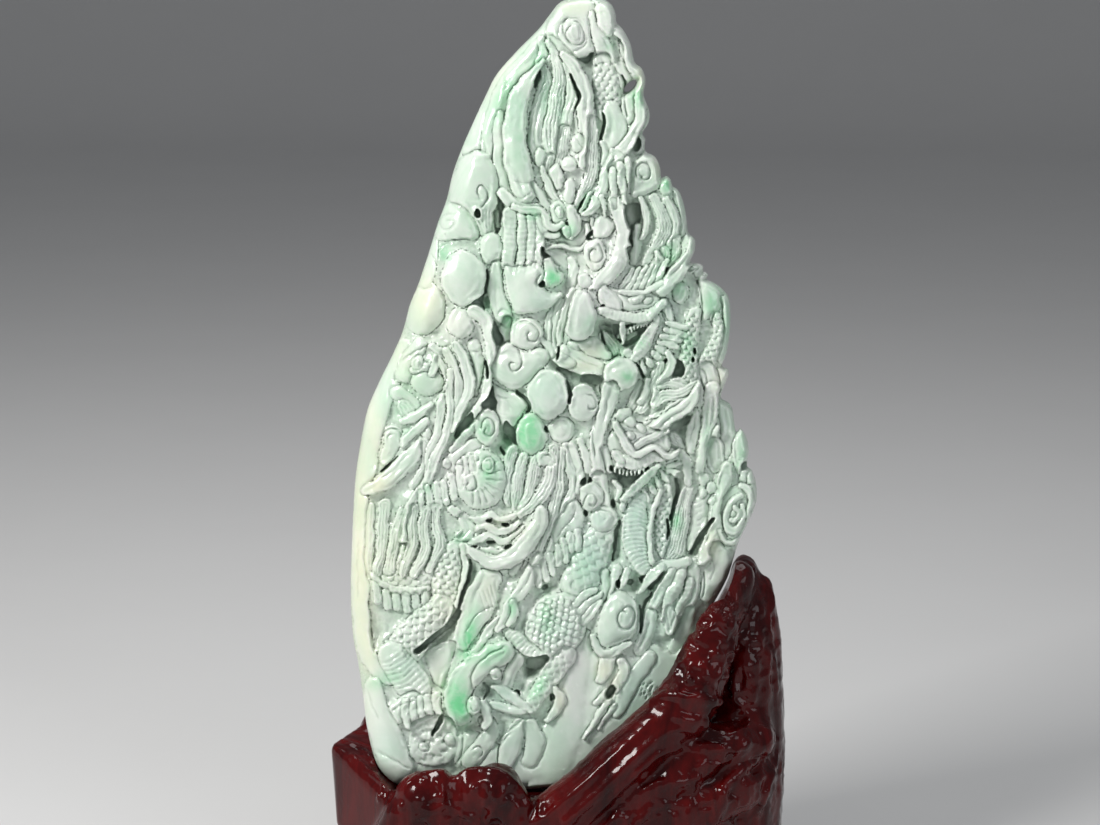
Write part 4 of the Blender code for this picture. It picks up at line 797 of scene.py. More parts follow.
# ------------------------------------------------------------------ right-middle dragon: chest, flank, fur
B([(640, 498, 8), (635, 513, 12), (634, 532, 12.5), (637, 552, 11), (645, 568, 8)], 15.5, lift=0.6, tex=plates(4.6, 1.0, -0.25))
B([(668, 486, 5), (665, 503, 8), (663, 524, 8.5), (663, 545, 9), (670, 560, 6)], 14.5, lift=0.8, tex=scales(7.5, 0.8))
B([(662, 488, 2.4), (655, 504, 2.7), (650, 524, 2.7), (649, 545, 2.7), (653, 561, 2.6), (662, 570, 2)], 16.6, lift=0.9)
K([(676, 478, 1.5), (678, 492, 2.6), (673, 506, 2.6), (671, 518, 1.6)], floor=2)
K([(668, 518, 1.2), (669, 530, 1.8), (667, 538, 1.2)], floor=5)
B([(688, 486, 5), (683, 508, 7.5), (680, 530, 8.5), (676, 549, 8.5), (668, 564, 6)], 13.3, lift=0.8, tex=strands(5, 0.9, 0.25, 18))
B([(682, 452, 4), (687, 464, 5.2), (688, 480, 4.4)], 13.8)
hole_poly([(640, 577), (652, 574), (664, 573), (658, 582), (650, 591), (644, 585)], -3, 2)

# ------------------------------------------------------------------ right claw, small claw
B([(660, 566, 6), (676, 566, 7), (686, 560, 5)], 14.5)
for pts in ([(672, 573, 5), (664, 588, 6), (656, 602, 5.2), (650, 616, 3)], [(681, 573, 5), (675, 589, 5.8), (668, 604, 5.2), (664, 619, 3)],
            [(662, 566, 4), (654, 574, 5), (646, 584, 4), (640, 592, 2.4)]):
    B(pts, 15.6, lift=0.9, tex=rings(5, 0.6))
B([(690, 580, 4), (686, 594, 5), (680, 606, 4), (676, 616, 2)], 14, lift=0.9, tex=rings(5, 0.5))
B([(670, 609, 4), (671, 621, 7), (670, 633, 3)], 14.5, lift=0.7)
C([(666, 612), (669, 622), (670, 632)], 1.1, 1.0)
C([(676, 612), (673, 622), (670, 632)], 1.1, 1.0)
B([(684, 622, 4), (679, 635, 3)], 12)
B([(617, 568, 5.4), (614, 582, 4.4), (611, 595, 2)], 15.5, tex=rings(4.5, 0.5))
B([(627, 570, 4.5), (624, 582, 4), (618, 592, 2)], 15, tex=rings(4.5, 0.5))
PIT(619.5, 584, 2.2, 4.2, 3, 10)
PIT(631, 581, 3.2, 2.4, 3)
K([(652, 594, 1.5), (646, 604, 2.2), (642, 616, 1.6)], floor=4)

# ------------------------------------------------------------------ centre body, teardrop cloud, lower right
P([(560, 660), (590, 650), (640, 655), (690, 640), (704, 622), (700, 655), (670, 705), (610, 762), (570, 790), (530, 795), (540, 740), (552, 700)],
  10.5, rnd=10, lift=0.4, groove=0.5, gd=0.3)
B([(603, 524, 12), (596, 544, 16), (587, 565, 18), (577, 585, 18)], 14.5, lift=0.6, tex=scales(11.0, 0.45))
for k in range(7):
    C([(611 + 1.2 * k, 524 + 5.5 * k), (617, 527 + 5.5 * k), (621 - 0.6 * k, 524 + 5.5 * k)], 1.3, 1.3)
K([(619, 520, 1.4), (616, 534, 2.4), (615, 548, 2.0), (613, 560, 1.2)], floor=6)
B([(604, 572, 6), (606, 586, 6), (600, 600, 5)], 12)
B([(583, 638, 10), (578, 662, 13), (575, 690, 14), (571, 716, 15), (564, 744, 19), (556, 770, 20)], 11.5, lift=0.4, flat=3, mode="max")
B([(652, 655, 12), (642, 672, 13), (628, 694, 13), (612, 718, 10), (596, 744, 12)], 10.5, lift=0.5, flat=3, mode="max")
B([(676, 650, 8), (664, 676, 10), (648, 700, 10), (628, 726, 10)], 8.5, lift=0.5, flat=3, mode="max")
B([(650, 658, 7), (638, 675, 8), (626, 695, 8), (616, 716, 5)], 12.6, lift=0.6)
for k in range(14):
    a = 2.4 * k
    px, py = 650 + 9 * math.cos(a) * (0.4 + 0.05 * k), 690 + 10 * math.sin(a) * (0.3 + 0.06 * k)
    C([(px, py), (px - 2.5, py + 3.5)], 1.3, 1.6, ends=1)
B([(652, 616, 7), (648, 632, 8), (640, 648, 8)], 12, lift=0.7)
C([(650, 620), (646, 634), (638, 650)], 1.3, 1.0)
B([(690, 612, 6), (684, 630, 7), (674, 648, 6)], 9.5, lift=0.7)
B([(608, 659, 7), (606, 672, 6.4), (602, 680, 4)], 14.5, lift=0.8)
B([(621, 662, 5), (625, 672, 5.4), (617, 686, 5.2), (606, 696, 4.4), (597, 704, 3)], 14.2, lift=0.8)
B([(609, 700, 3), (602, 712, 3.4), (594, 725, 2.8), (584, 738, 1.6)], 13.6)
B([(614, 706, 2.8), (606, 718, 2.6), (599, 729, 1.6)], 13)
hole_poly([(612, 684), (618, 688), (614, 696), (608, 699), (606, 693)], 7, 2)
P([(611, 595), (618, 590), (627, 591), (636, 600), (639, 614), (637, 630), (627, 640), (613, 648), (600, 645), (597, 632), (600, 614), (605, 602)],
  18, rnd=16, lift=0.75)
C([(620, 612), (626, 606), (634, 610), (636, 618), (632, 626), (625, 629), (619, 624), (618, 616), (622, 610), (627, 613)], 1.7, 1.9, ends=2)
C([(632, 633), (622, 640), (610, 645)], 1.3, 1.2)
B([(593, 637, 3), (597, 648, 4.2), (606, 654, 4.4), (618, 650, 4), (630, 642, 2.6)], 15.6, lift=0.9)
K([(640, 606, 1.2), (643, 618, 2.2), (641, 632, 1.5)], floor=5)

# ------------------------------------------------------------------ haunch, belly ladder, fins
P([(556, 592), (572, 594), (584, 604), (587, 620), (582, 638), (570, 652), (552, 660), (534, 656), (524, 642), (524, 624), (532, 606), (543, 595)],
  17.5, rnd=20, lift=0.7)
TEXW = window(522, 590, 590, 662)
sgx, sgy = GX[TEXW], GY[TEXW]
along_ = (sgx - 556) * 0.5 + (sgy - 625) * 0.87
across_ = (sgx - 556) * 0.87 - (sgy - 625) * 0.5
inside_ = np.clip((1 - ((across_ / 33) ** 2 + (along_ / 31) ** 2)) * 4, 0, 1)
H[TEXW] += inside_ * scales(8.5, 0.8)(along_ + 90, across_ / 10.0, np.full(sgx.shape, 10.0), 0)
C([(538, 600), (546, 606), (552, 616), (560, 620)], 1.4, 1.0)
for a, b, c_ in (((576, 604, 4), (584, 595, 5), (594, 588, 3)), ((580, 612, 4), (590, 603, 5), (600, 593, 3)), ((582, 622, 4), (591, 613, 5), (600, 602, 3))):
    B([a, b, c_], 15.2, tex=strands(4, 0.7))
PIT(545, 586, 3.0, 2.4, 2)
B([(506, 630, 5), (514, 638, 8), (526, 649, 8), (540, 657, 6)], 16, lift=0.6, tex=plates(4.4, 1.0))
C([(517, 624), (523, 633), (533, 644), (545, 656)], 1.3, 1.3)
hole_poly([(525, 661), (536, 657), (546, 656), (549, 663), (537, 670), (527, 668)], -2, 2)
B([(566, 655, 10), (553, 672, 11), (541, 690, 9.5), (530, 706, 7.5)], 15.3, lift=0.8, tex=scales(8.0, 0.45))
B([(556, 690, 4.6), (561, 700, 6), (556, 712, 5.4), (547, 720, 3)], 13.8)
PIT(552, 698, 3.0, 4.0, 1)
PIT(516, 695, 3.4, 3.2, 0)
B([(516, 661, 7.5), (509, 675, 7), (506, 690, 5)], 15, lift=0.8)
C([(517, 664), (511, 677), (507, 689)], 1.2, 0.8)

# ------------------------------------------------------------------ lower forms: leaf, hooks, green S cloud
B([(470, 752, 20), (500, 768, 20), (535, 768, 18)], 11, lift=0.4, flat=3, mode="max")
B([(520, 726, 8), (514, 740, 11), (509, 754, 10), (505, 766, 7)], 13.6, lift=0.7)
C([(500, 767), (498, 755), (504, 742), (512, 733)], 1.5, 1.5)
B([(530, 726, 8), (536, 744, 10), (530, 762, 9)], 12, lift=0.6)
C([(481, 765), (479, 755), (485, 747), (497, 742), (510, 731), (524, 716)], 1.6, 1.6)
B([(486, 722, 8), (490, 734, 9), (482, 748, 9), (470, 762, 9)], 13, lift=0.7)
C([(472, 752), (478, 748), (482, 753), (479, 760)], 1.4, 1.4)
B([(492, 688, 3), (506, 695, 6), (518, 704, 6), (530, 710, 3)], 15, lift=0.8)
B([(488, 706, 4), (500, 708, 5), (512, 712, 5), (524, 712, 2)], 14.2, lift=0.8)
C([(488, 700), (502, 702), (516, 708)], 1.1, 1.0)
B([(500, 652, 13), (482, 661, 14), (465, 676, 14), (456, 696, 14), (460, 714, 12.5)], 20, lift=0.65)
C([(504, 645), (490, 652), (476, 664), (470, 680), (474, 692)], 1.8, 1.6)
E(495, 673, 6.2, 7.2, 19.4)
C([(492, 668), (497, 666), (500, 671), (498, 677), (493, 677)], 1.3, 1.3, ends=2)
E(474, 705, 7.5, 10.5, 21)
C([(470, 700), (474, 696), (479, 700), (479, 708), (474, 711), (471, 706)], 1.4, 1.4, ends=2)
B([(483, 700, 3.4), (486, 710, 4.8), (488, 720, 4.6), (484, 728, 3.2)], 17.5)
K([(482, 682, 1.5), (487, 690, 2.4), (484, 698, 1.5)], floor=7)

# ------------------------------------------------------------------ fungus cap, long horn, ribbons
B([(489, 578, 13), (481, 598, 17), (472, 618, 15), (461, 640, 9.5)], 16.2, lift=0.6)
for k in range(6):
    C([(478 + 4.4 * k, 588 - 2 * k), (483 + 4.0 * k, 602 - 2 * k), (487 + 3.0 * k, 616 - 3 * k)], 1.0, 0.6)
C([(503, 612), (491, 618), (482, 630), (475, 642), (466, 652)], 1.6, 1.8)
C([(496, 606), (486, 608), (474, 618), (465, 632)], 1.3, 1.0)
B([(504, 614, 3), (494, 622, 4), (486, 634, 4.2), (478, 646, 4), (470, 652, 2.6)], 15.8)
B([(536, 559, 6), (530, 575, 7.4), (521, 590, 7.4), (512, 601, 6), (505, 615, 5), (497, 629, 3)], 17.2, lift=0.7)
C([(533, 566), (526, 582), (516, 595)], 1.1, 0.6)
B([(513, 602, 3.6), (515, 613, 4.2), (507, 623, 3)], 17.6)
B([(465, 541, 3), (480, 538, 4.4), (490, 533, 3.6), (501, 541, 3.6), (512, 536, 3.2), (523, 524, 2.6)], 15)
B([(478, 552, 3.2), (490, 549, 3.6), (502, 552, 3.6), (516, 545, 3)], 14)
B([(457, 533, 3.4), (470, 529, 4.4), (482, 523, 4.4), (490, 526, 4), (497, 531, 4), (507, 529, 4), (519, 519, 3)], 16.2)
B([(450, 507, 3), (463, 515, 3.6), (478, 519, 3.6), (490, 513, 3.4), (500, 518, 3.4), (514, 513, 3.2), (524, 506, 2)], 16.4)
for x, y, rx, ry, t in ((470, 524, 5, 2, 10), (489, 519.5, 3.4, 1.8, 0), (506, 524, 4, 2, 10), (474, 546, 4, 1.6, 10), (491, 541.5, 4.4, 1.6, 0), (508, 546, 4, 1.8, 20)):
    PIT(x, y, rx, ry, 3, t)

# ------------------------------------------------------------------ hair of the centre, plates, feather
B([(514, 448, 5), (508, 466, 7), (505, 484, 7), (508, 500, 5)], 14, tex=strands(4, 0.8, 0.3))
B([(524, 456, 5), (519, 474, 6.5), (517, 492, 6), (516, 506, 4)], 14.6, tex=strands(4, 0.8, 0.3))
B([(536, 458, 5), (533, 476, 6.5), (529, 492, 6), (521, 505, 4)], 15, tex=strands(4, 0.8, 0.3))
B([(566, 445, 5), (570, 465, 5.6), (574, 480, 5.4), (571, 495, 5), (563, 509, 4.4), (557, 525, 4), (553, 541, 4), (545, 557, 3)], 15,
  tex=strands(2, 0.5))
B([(560, 450, 5), (558, 474, 6.4), (556, 500, 6.4), (549, 520, 6.4), (541, 540, 6), (535, 557, 5)], 15.8, tex=strands(3, 0.7, 0.2))
B([(553, 446, 5), (552, 468, 6.4), (546, 488, 6.4), (533, 504, 5.4), (520, 513, 3)], 16.6, tex=strands(3, 0.7, 0.2))
P([(536, 452), (545, 449), (554, 453), (556, 461), (548, 465), (538, 463)], 15, rnd=4)
C([(540, 454), (548, 453), (553, 458)], 1.4, 1.4)
E(537, 558, 8.4, 8.4, 16.6)
C([(532, 556), (537, 551), (543, 555), (541, 562), (535, 563)], 1.4, 1.4, ends=2)
P([(575, 497), (582, 504), (584, 517), (581, 527), (573, 532), (563, 538), (556, 544), (552, 532), (556, 519), (564, 509)], 13.6, rnd=6)
C([(576, 504), (572, 518), (562, 530), (557, 538)], 1.2, 1.0)
for k in range(6):
    C([(574 - 3 * k, 508 + 4.6 * k), (580 - 2.4 * k, 512 + 4.6 * k)], 0.9, 0.6)
fringe([(578, 529, 578, 546, 3.6, 3.9), (571, 533, 571, 549, 3.6, 3.9), (564, 539, 565, 559, 3.6, 4.0), (557, 545, 558, 563, 3.6, 4.0),
        (550, 552, 553, 572, 3.6, 4.0), (543, 560, 546, 578, 3.6, 4.0), (537, 566, 539, 583, 3.4, 3.6)], 14.4)
B([(513, 570, 5), (518, 560, 6)], 13)
B([(464, 543, 2), (475, 553, 5), (490, 561, 6.4), (505, 560, 8), (520, 549, 9.4), (532, 534, 9.2), (540, 520, 8), (541, 509, 6)], 20, lift=0.8)
C([(478, 552), (492, 557), (506, 555), (519, 544), (529, 530)], 1.1, 0.6)

# ------------------------------------------------------------------ stalk with its curl
B([(600, 478, 9), (603, 494, 7.4), (606, 507, 6.4)], 14, lift=0.8)
for pts in ([(571, 444, 4), (577, 460, 4.2), (580, 474, 4.2), (579, 490, 3.6)], [(580, 440, 4), (586, 456, 4.4), (588, 470, 4.2)]):
    B(pts, 14.6, lift=0.9)
PIT(583.5, 480, 2.8, 4.0, 2)
PIT(590.5, 480, 2.2, 3.4, 2)
E(592, 495, 12.4, 14.5, 17.6, 0, lift=0.7)
C([(582, 505), (585, 497), (589, 492), (595, 493), (598, 499), (594, 504), (590, 501)], 1.6, 1.7, ends=2)
E(603.5, 517, 14, 13, 16.4, 0, lift=0.7)
C([(594, 510), (601, 507), (610, 511), (613, 519)], 1.4, 1.1)
PIT(585.5, 511, 2.6, 3.0, 3)
PIT(613.5, 502, 2.4, 4.4, 3, 10)

# ------------------------------------------------------------------ left dragon: rim, forehead, muzzle
B([(404, 346, 9), (391, 376, 12), (381, 402, 12), (372, 430, 12), (366, 460, 11), (361, 490, 9), (359, 520, 8.5), (358, 552, 8.5), (359, 585, 8.8),
   (360, 615, 8.8), (363, 640, 9), (371, 662, 8.4), (384, 678, 7), (396, 684, 4)], 12.2, lift=0.5, flat=3)
B([(420, 343, 8), (411, 358, 9), (404, 374, 9)], 14, lift=0.7)
C([(400, 361), (410, 352), (421, 346), (431, 343)], 1.6, 1.4)
for k in range(4):
    C([(392 + 5 * k, 378 + 3.4 * k), (400 + 5 * k, 380 + 4.4 * k), (408 + 5 * k, 390 + 5 * k)], 1.2, 1.0)
B([(398, 392, 7), (408, 400, 8), (418, 410, 7)], 13, lift=0.7)
E(427, 380, 16.5, 15, 15.5, 0, lift=0.7)
B([(414, 368, 4), (424, 364, 5), (434, 366, 3.4)], 16, tex=strands(2, 0.4))
E(418, 360, 5.6, 7.4, 16.6, -20)
E(417.5, 360, 2.6, 3.4, 17.2, -20, lift=0.8, groove=1.0, gd=0.9)
B([(440, 350, 5), (436, 362, 4.4), (432, 372, 3)], 16.4)
B([(432, 344, 4), (441, 350, 3.4), (448, 350, 2)], 17)
B([(439, 358, 3), (447, 372, 5), (453, 386, 5), (452, 400, 4), (448, 410, 2.6)], 15.5, tex=strands(2, 0.4))
B([(447, 351, 4.6), (455, 367, 5.4), (460, 384, 5.4), (458, 400, 4.2), (452, 412, 3)], 16.8, tex=strands(2, 0.4))
B([(455, 343, 4.4), (463, 355, 5.4), (469, 370, 5.4), (470, 385, 5.2), (466, 399, 4.4), (459, 413, 4), (452, 429, 3)], 17.6, tex=strands(2, 0.4))
hole_poly([(455, 432), (460, 424), (466, 416), (471, 411), (474, 416), (470, 424), (463, 432), (457, 438)], 3, 2)

# ------------------------------------------------------------------ left dragon: tusk, cheek, long lock
B([(404, 404, 6), (412, 414, 7), (420, 424, 6), (428, 436, 5)], 13.5, tex=strands(3, 0.6))
B([(432, 402, 3), (420, 412, 5.4), (404, 419, 4)], 15.4)
B([(426, 420, 4), (413, 432, 4.6), (402, 443, 3.6)], 15.4)
B([(394, 432, 9), (391, 446, 8), (384, 460, 5)], 13.6, lift=0.8)
C([(383, 440), (386, 431), (393, 427), (400, 430), (403, 437)], 1.6, 1.6)
C([(387, 442), (390, 435), (396, 434)], 1.3, 1.0)
K([(398, 456, 1.6), (390, 464, 2.2), (380, 470, 1.4)], floor=6)
B([(421, 444, 6.4), (408, 459, 10), (393, 474, 9.4), (378, 486, 7.2), (364, 491, 4.6)], 16.4, lift=0.8)
C([(412, 449), (401, 461), (388, 472), (374, 481)], 1.1, 0.7)
C([(418, 456), (406, 469), (393, 481), (380, 489)], 1.1, 0.6)
B([(425, 442, 5), (428, 456, 5), (424, 470, 5), (414, 484, 5)], 14, tex=strands(3, 0.6))
B([(442, 394, 4), (440, 414, 4.4), (437, 431, 4.4), (432, 445, 4.2), (430, 460, 4), (428, 476, 3)], 15.8, tex=strands(2, 0.4))
P([(450, 450), (458, 443), (470, 438), (480, 436), (482, 444), (474, 452), (465, 460), (456, 470), (448, 468), (444, 460)], 14.6, rnd=6)
E(446.5, 461, 4.4, 5.4, 15.6, 10)
B([(451, 448, 3.4), (461, 440, 4.4), (472, 428, 4.4), (478, 419, 3)], 15.6, lift=0.9, tex=plates(4.2, 0.7))
B([(450, 369, 3.6), (448, 390, 4.2), (450, 410, 4.4), (447, 428, 4.4), (440, 446, 4.4), (433, 465, 4.4), (427, 482, 4.4), (413, 500, 4.8),
   (405, 520, 4.2), (403, 541, 3.6)], 17.2, lift=0.85, tex=strands(2, 0.4))

# ------------------------------------------------------------------ shell boss, curl, beard fringe
E(487, 425, 12.4, 18.4, 18.2, 0, lift=0.75)
C([(480, 427), (482, 419), (487, 416), (493, 420), (494, 429), (489, 434), (484, 431), (486, 425)], 1.6, 1.7, ends=2)
E(480, 478, 26, 31, 18.2, 0, lift=0.45)
for k in range(9):
    a = math.radians(-62 + 21 * k)
    C([(474 + 9 * math.cos(a), 476 + 10 * math.sin(a)), (478 + 17 * math.cos(a), 477 + 20 * math.sin(a)), (480 + 24 * math.cos(a), 478 + 29 * math.sin(a))],
      1.3, 1.0)
E(487, 463, 6.4, 8.4, 19.6)
C([(484, 459), (488, 457), (491, 462), (489, 468), (485, 467)], 1.3, 1.3, ends=2)
C([(463, 474), (470, 471), (475, 478), (475, 486), (469, 490), (465, 485), (468, 480)], 1.7, 1.8, ends=2)
B([(459, 463, 3.4), (466, 458, 4), (474, 455, 3.4)], 18, lift=0.9)
fringe([(464, 458, 465, 470, 3.4, 3.6), (470, 455, 472, 468, 3.2, 3.4), (458, 466, 460, 483, 3.6, 3.8), (450, 474, 454, 496, 3.8, 4.0),
        (442, 480, 446, 500, 3.8, 4.0), (435, 482, 439, 504, 3.6, 3.8), (428, 485, 432, 507, 3.4, 3.8), (420, 490, 423, 508, 3.2, 3.4)], 15.8)

# ------------------------------------------------------------------ mane of the left dragon
E(410, 570, 42, 30, 13.2, 0, lift=0.25, groove=0.8, gd=0.5, tex=scales(8.0, 0.6))
B([(372, 504, 4), (370, 530, 4.4), (368, 556, 4.4), (370, 575, 4)], 11.5, tex=strands(2, 0.5))
B([(385, 503, 5.4), (383, 528, 6), (380, 552, 6), (378, 572, 5)], 13, tex=strands(3, 0.7, 0.2))
B([(402, 510, 4.4), (396, 530, 5.6), (392, 550, 5.8), (388, 570, 5)], 14.2, tex=strands(3, 0.7, 0.2))
B([(415, 506, 5), (411, 525, 5.6), (412, 540, 5.6), (408, 556, 5), (402, 573, 4.4)], 15.2, tex=strands(3, 0.8, 0.3))
B([(427, 508, 4.8), (422, 526, 5.6), (425, 541, 5.6), (422, 556, 5.2), (414, 573, 4.4)], 15.6, tex=strands(3, 0.8, 0.3))
B([(436, 506, 4.2), (437, 525, 5.4), (440, 541, 5.4), (434, 557, 4.6), (428, 568, 3.6)], 15.4, tex=strands(3, 0.8, 0.3))
B([(463, 517, 5.6), (469, 530, 6.4), (457, 541, 5.4), (446, 545, 3.4)], 14.5, lift=0.8)
C([(440, 549), (450, 542), (461, 541), (472, 541)], 1.3, 1.2)

# ------------------------------------------------------------------ lower body of the left dragon
B([(453, 548, 9.6), (449, 565, 13.6), (445, 585, 14), (443, 605, 11), (437, 622, 10)], 15.2, lift=0.7, tex=scales(8.5, 0.8))
B([(463, 545, 3), (466, 565, 3.4), (462, 585, 3.4), (457, 606, 3)], 15.6)
K([(471, 560, 1.4), (469, 574, 2.4), (463, 590, 2.6), (458, 609, 1.6)], floor=1)
B([(372, 574, 2.6), (380, 581, 3.4), (391, 587, 3.6), (403, 590.5, 3.6), (416, 591, 3.6), (428, 588, 3)], 14.6, lift=0.9, tex=plates(5.0, 0.6))
fringe([(375, 584, 377, 600, 4.2, 4.6), (385, 591, 387, 606, 4.4, 4.6), (395, 595, 396, 608, 4.4, 4.6), (405, 596, 406, 610, 4.4, 4.6),
        (415, 596, 416, 608, 4.4, 4.4), (425, 593, 425, 604, 4.0, 4.0)], 13.4)
for k in range(8):
    C([(369 + 4.6 * k, 646), (373 + 4.2 * k, 628), (379 + 3.4 * k, 608)], 0.9, 0.8)
B([(440, 604, 11), (428, 620, 16), (412, 638, 19), (398, 656, 17)], 15.3, lift=0.65, tex=scales(9.0, 0.8))
hole_poly([(461, 612), (455, 622), (446, 631), (436, 640), (426, 648), (416, 654), (413, 650), (424, 642), (434, 633), (444, 625), (452, 616), (456, 610)],
          -1, 2.2)
P([(425, 654), (436, 646), (448, 640), (456, 642), (452, 658), (448, 674), (444, 690), (434, 686), (428, 672)], 8.5, rnd=5)
B([(391, 654, 14), (402, 671, 17), (413, 688, 17.4), (420, 706, 13)], 15.2, lift=0.55, tex=plates(5.2, 1.1, 0.25))
B([(412, 703, 12), (397, 714, 10.4), (386, 729, 4)], 14.6, lift=0.75)
for k in range(5):
    x = 404 + 8.0 * k
    B([(x, 704 - 2.0 * k, 4), (x + 1, 716 - 2.4 * k, 4.6), (x + 3, 727 - 2.6 * k, 3.4)], 15, lift=0.9)
C([(390, 713), (400, 706), (414, 702)], 1.3, 1.0)

# ------------------------------------------------------------------ left rim and lower left
C([(369, 598), (370, 616), (370, 634), (374, 652)], 2.4, 2.6)
C([(378, 604), (377, 620), (378, 640)], 1.5, 1.4)
C([(358, 540), (356, 570), (357, 600)], 1.2, 0.7)
B([(372, 686, 8), (374, 704, 12), (380, 724, 15), (388, 746, 17), (396, 768, 16)], 12.5, lift=0.45, flat=3)
C([(374, 752), (384, 758), (397, 764), (409, 771)], 1.4, 1.2)
C([(366, 690), (372, 706), (380, 722)], 1.3, 0.8)
P([(410, 724), (424, 718), (438, 716), (452, 720), (457, 735), (456, 752), (448, 765), (432, 768), (417, 764), (408, 750)], 11, rnd=10, lift=0.35, groove=0.6, gd=0.4)
K([(441, 716, 1.6), (438, 726, 2.6), (432, 737, 1.8)], floor=1)
C([(456, 722), (462, 736), (462, 752), (456, 766)], 1.5, 1.4)
E(450, 742, 5, 7, 12)
E(423, 748, 5, 4, 12)

# ------------------------------------------------------------------ colour areas of the stone
def blobs(rows):
    out = np.zeros(GX.shape)
    for x, y, rx, ry, turn, strength in rows:
        q = ell(x + 3.0 * WARP_X, y + 3.0 * WARP_Y, rx, ry, turn)
        out = np.maximum(out, strength * np.exp(-0.9 * q ** 2.2))
    return out


WARP_X = 0.0
WARP_Y = 0.0
NOISE_A = noise2(26.0, 21)
NOISE_B = noise2(9.0, 22)
GREEN = blobs([
    (456, 700, 12, 26, 10, 1.0), (468, 640, 9, 26, -12, 0.75), (492, 652, 22, 12, 20, 0.55), (512, 604, 5, 10, 0, 0.55),
    (528, 430, 16, 22, 10, 0.85), (553, 276, 11, 9, 0, 0.8), (568, 229, 9, 10, 0, 0.6), (532, 212, 8, 6, 0, 0.55),
    (666, 184, 6, 7, 0, 0.75), (668, 250, 9, 7, 40, 0.55), (672, 258, 10, 5, 40, 0.55), (681, 288, 9, 10, 0, 0.55),
    (490, 468, 12, 16, 0, 0.55), (656, 474, 16, 10, 30, 0.5), (676, 520, 7, 10, 0, 0.6), (540, 686, 6, 12, -30, 0.6),
    (636, 98, 7, 9, 0, 0.55), (560, 110, 5, 20, 0, 0.35), (545, 90, 5, 30, 0, 0.3), (502, 100, 8, 40, -25, 0.45),
    (540, 60, 8, 20, -30, 0.4), (445, 252, 6, 8, 0, 0.55), (404, 395, 18, 30, -20, 0.3), (462, 537, 8, 5, 0, 0.55),
    (485, 428, 8, 12, 0, 0.5), (508, 445, 8, 14, 0, 0.5), (384, 680, 16, 7, 20, 0.45), (628, 374, 6, 5, 0, 0.6),
    (614, 350, 9, 8, 0, 0.4), (712, 300, 10, 16, 0, 0.4), (728, 320, 5, 28, 0, 0.3), (688, 350, 8, 26, 0, 0.4),
    (660, 270, 12, 8, 50, 0.3), (520, 130, 9, 40, 0, 0.22), (585, 200, 5, 10, -30, 0.6), (590, 320, 8, 10, 0, 0.25),
    (546, 618, 8, 22, 0, 0.4), (508, 316, 8, 12, 0, 0.45), (487, 304, 5, 7, 0, 0.4), (512, 120, 10, 20, 0, 0.2),
    (708, 435, 6, 18, 0, 0.3), (742, 450, 5, 18, 0, 0.3), (534, 695, 8, 8, 0, 0.35), (575, 560, 16, 30, 20, 0.18),
    (470, 420, 4, 10, 0, 0.4), (458, 432, 10, 6, 40, 0.35), (520, 500, 16, 8, 0, 0.2), (408, 430, 10, 5, 30, 0.25),
    (428, 487, 6, 6, 0, 0.4), (560, 210, 8, 10, 0, 0.2), (610, 45, 8, 12, 0, 0.25), (640, 340, 8, 8, 0, 0.4)])
CREAM = blobs([
    (360, 560, 14, 130, 0, 0.85), (374, 484, 18, 12, 30, 0.8), (366, 640, 12, 50, 0, 0.7), (425, 300, 18, 30, 0, 0.6),
    (400, 350, 14, 40, 15, 0.35), (375, 440, 12, 60, 8, 0.5), (390, 560, 30, 40, 0, 0.4), (445, 600, 22, 30, 0, 0.35),
    (604, 670, 8, 10, 0, 0.6), (614, 686, 6, 18, -25, 0.55), (560, 700, 6, 14, 0, 0.5), (658, 165, 5, 14, 0, 0.4),
    (640, 75, 4, 20, 0, 0.4), (592, 262, 6, 8, 0, 0.2), (592, 350, 12, 8, 0, 0.35), (585, 364, 20, 6, 0, 0.4), (720, 376, 8, 16, 0, 0.35),
    (712, 545, 8, 16, 0, 0.45), (710, 552, 10, 8, 0, 0.35), (470, 680, 10, 40, 0, 0.1), (440, 690, 12, 30, 0, 0.35),
    (488, 590, 10, 20, 0, 0.3), (520, 530, 20, 8, 30, 0.2), (575, 8, 20, 8, 0, 0.35), (500, 70, 12, 30, -30, 0.3),
    (450, 320, 20, 20, 0, 0.2), (445, 360, 12, 30, 0, 0.2), (500, 520, 20, 6, 20, 0.35)])
LAVENDER = blobs([
    (600, 300, 40, 30, 0, 0.7), (600, 40, 30, 30, 0, 0.35), (575, 170, 20, 30, 0, 0.4), (615, 240, 20, 40, 0, 0.6),
    (600, 440, 16, 50, 0, 0.6), (640, 440, 30, 20, 0, 0.7), (575, 500, 14, 30, 0, 0.5), (545, 490, 20, 40, 0, 0.5),
    (575, 680, 12, 50, 0, 0.75), (440, 670, 14, 16, 0, 0.8), (530, 610, 10, 12, 0, 0.5), (455, 470, 20, 20, 0, 0.4),
    (640, 340, 14, 20, 0, 0.5), (700, 520, 10, 30, 0, 0.4), (585, 400, 14, 16, 0, 0.5), (460, 325, 12, 12, 0, 0.3),
    (590, 90, 12, 40, 0, 0.35), (510, 280, 8, 10, 0, 0.1), (620, 460, 40, 18, 0, 0.4), (460, 380, 8, 24, 0, 0.3)])
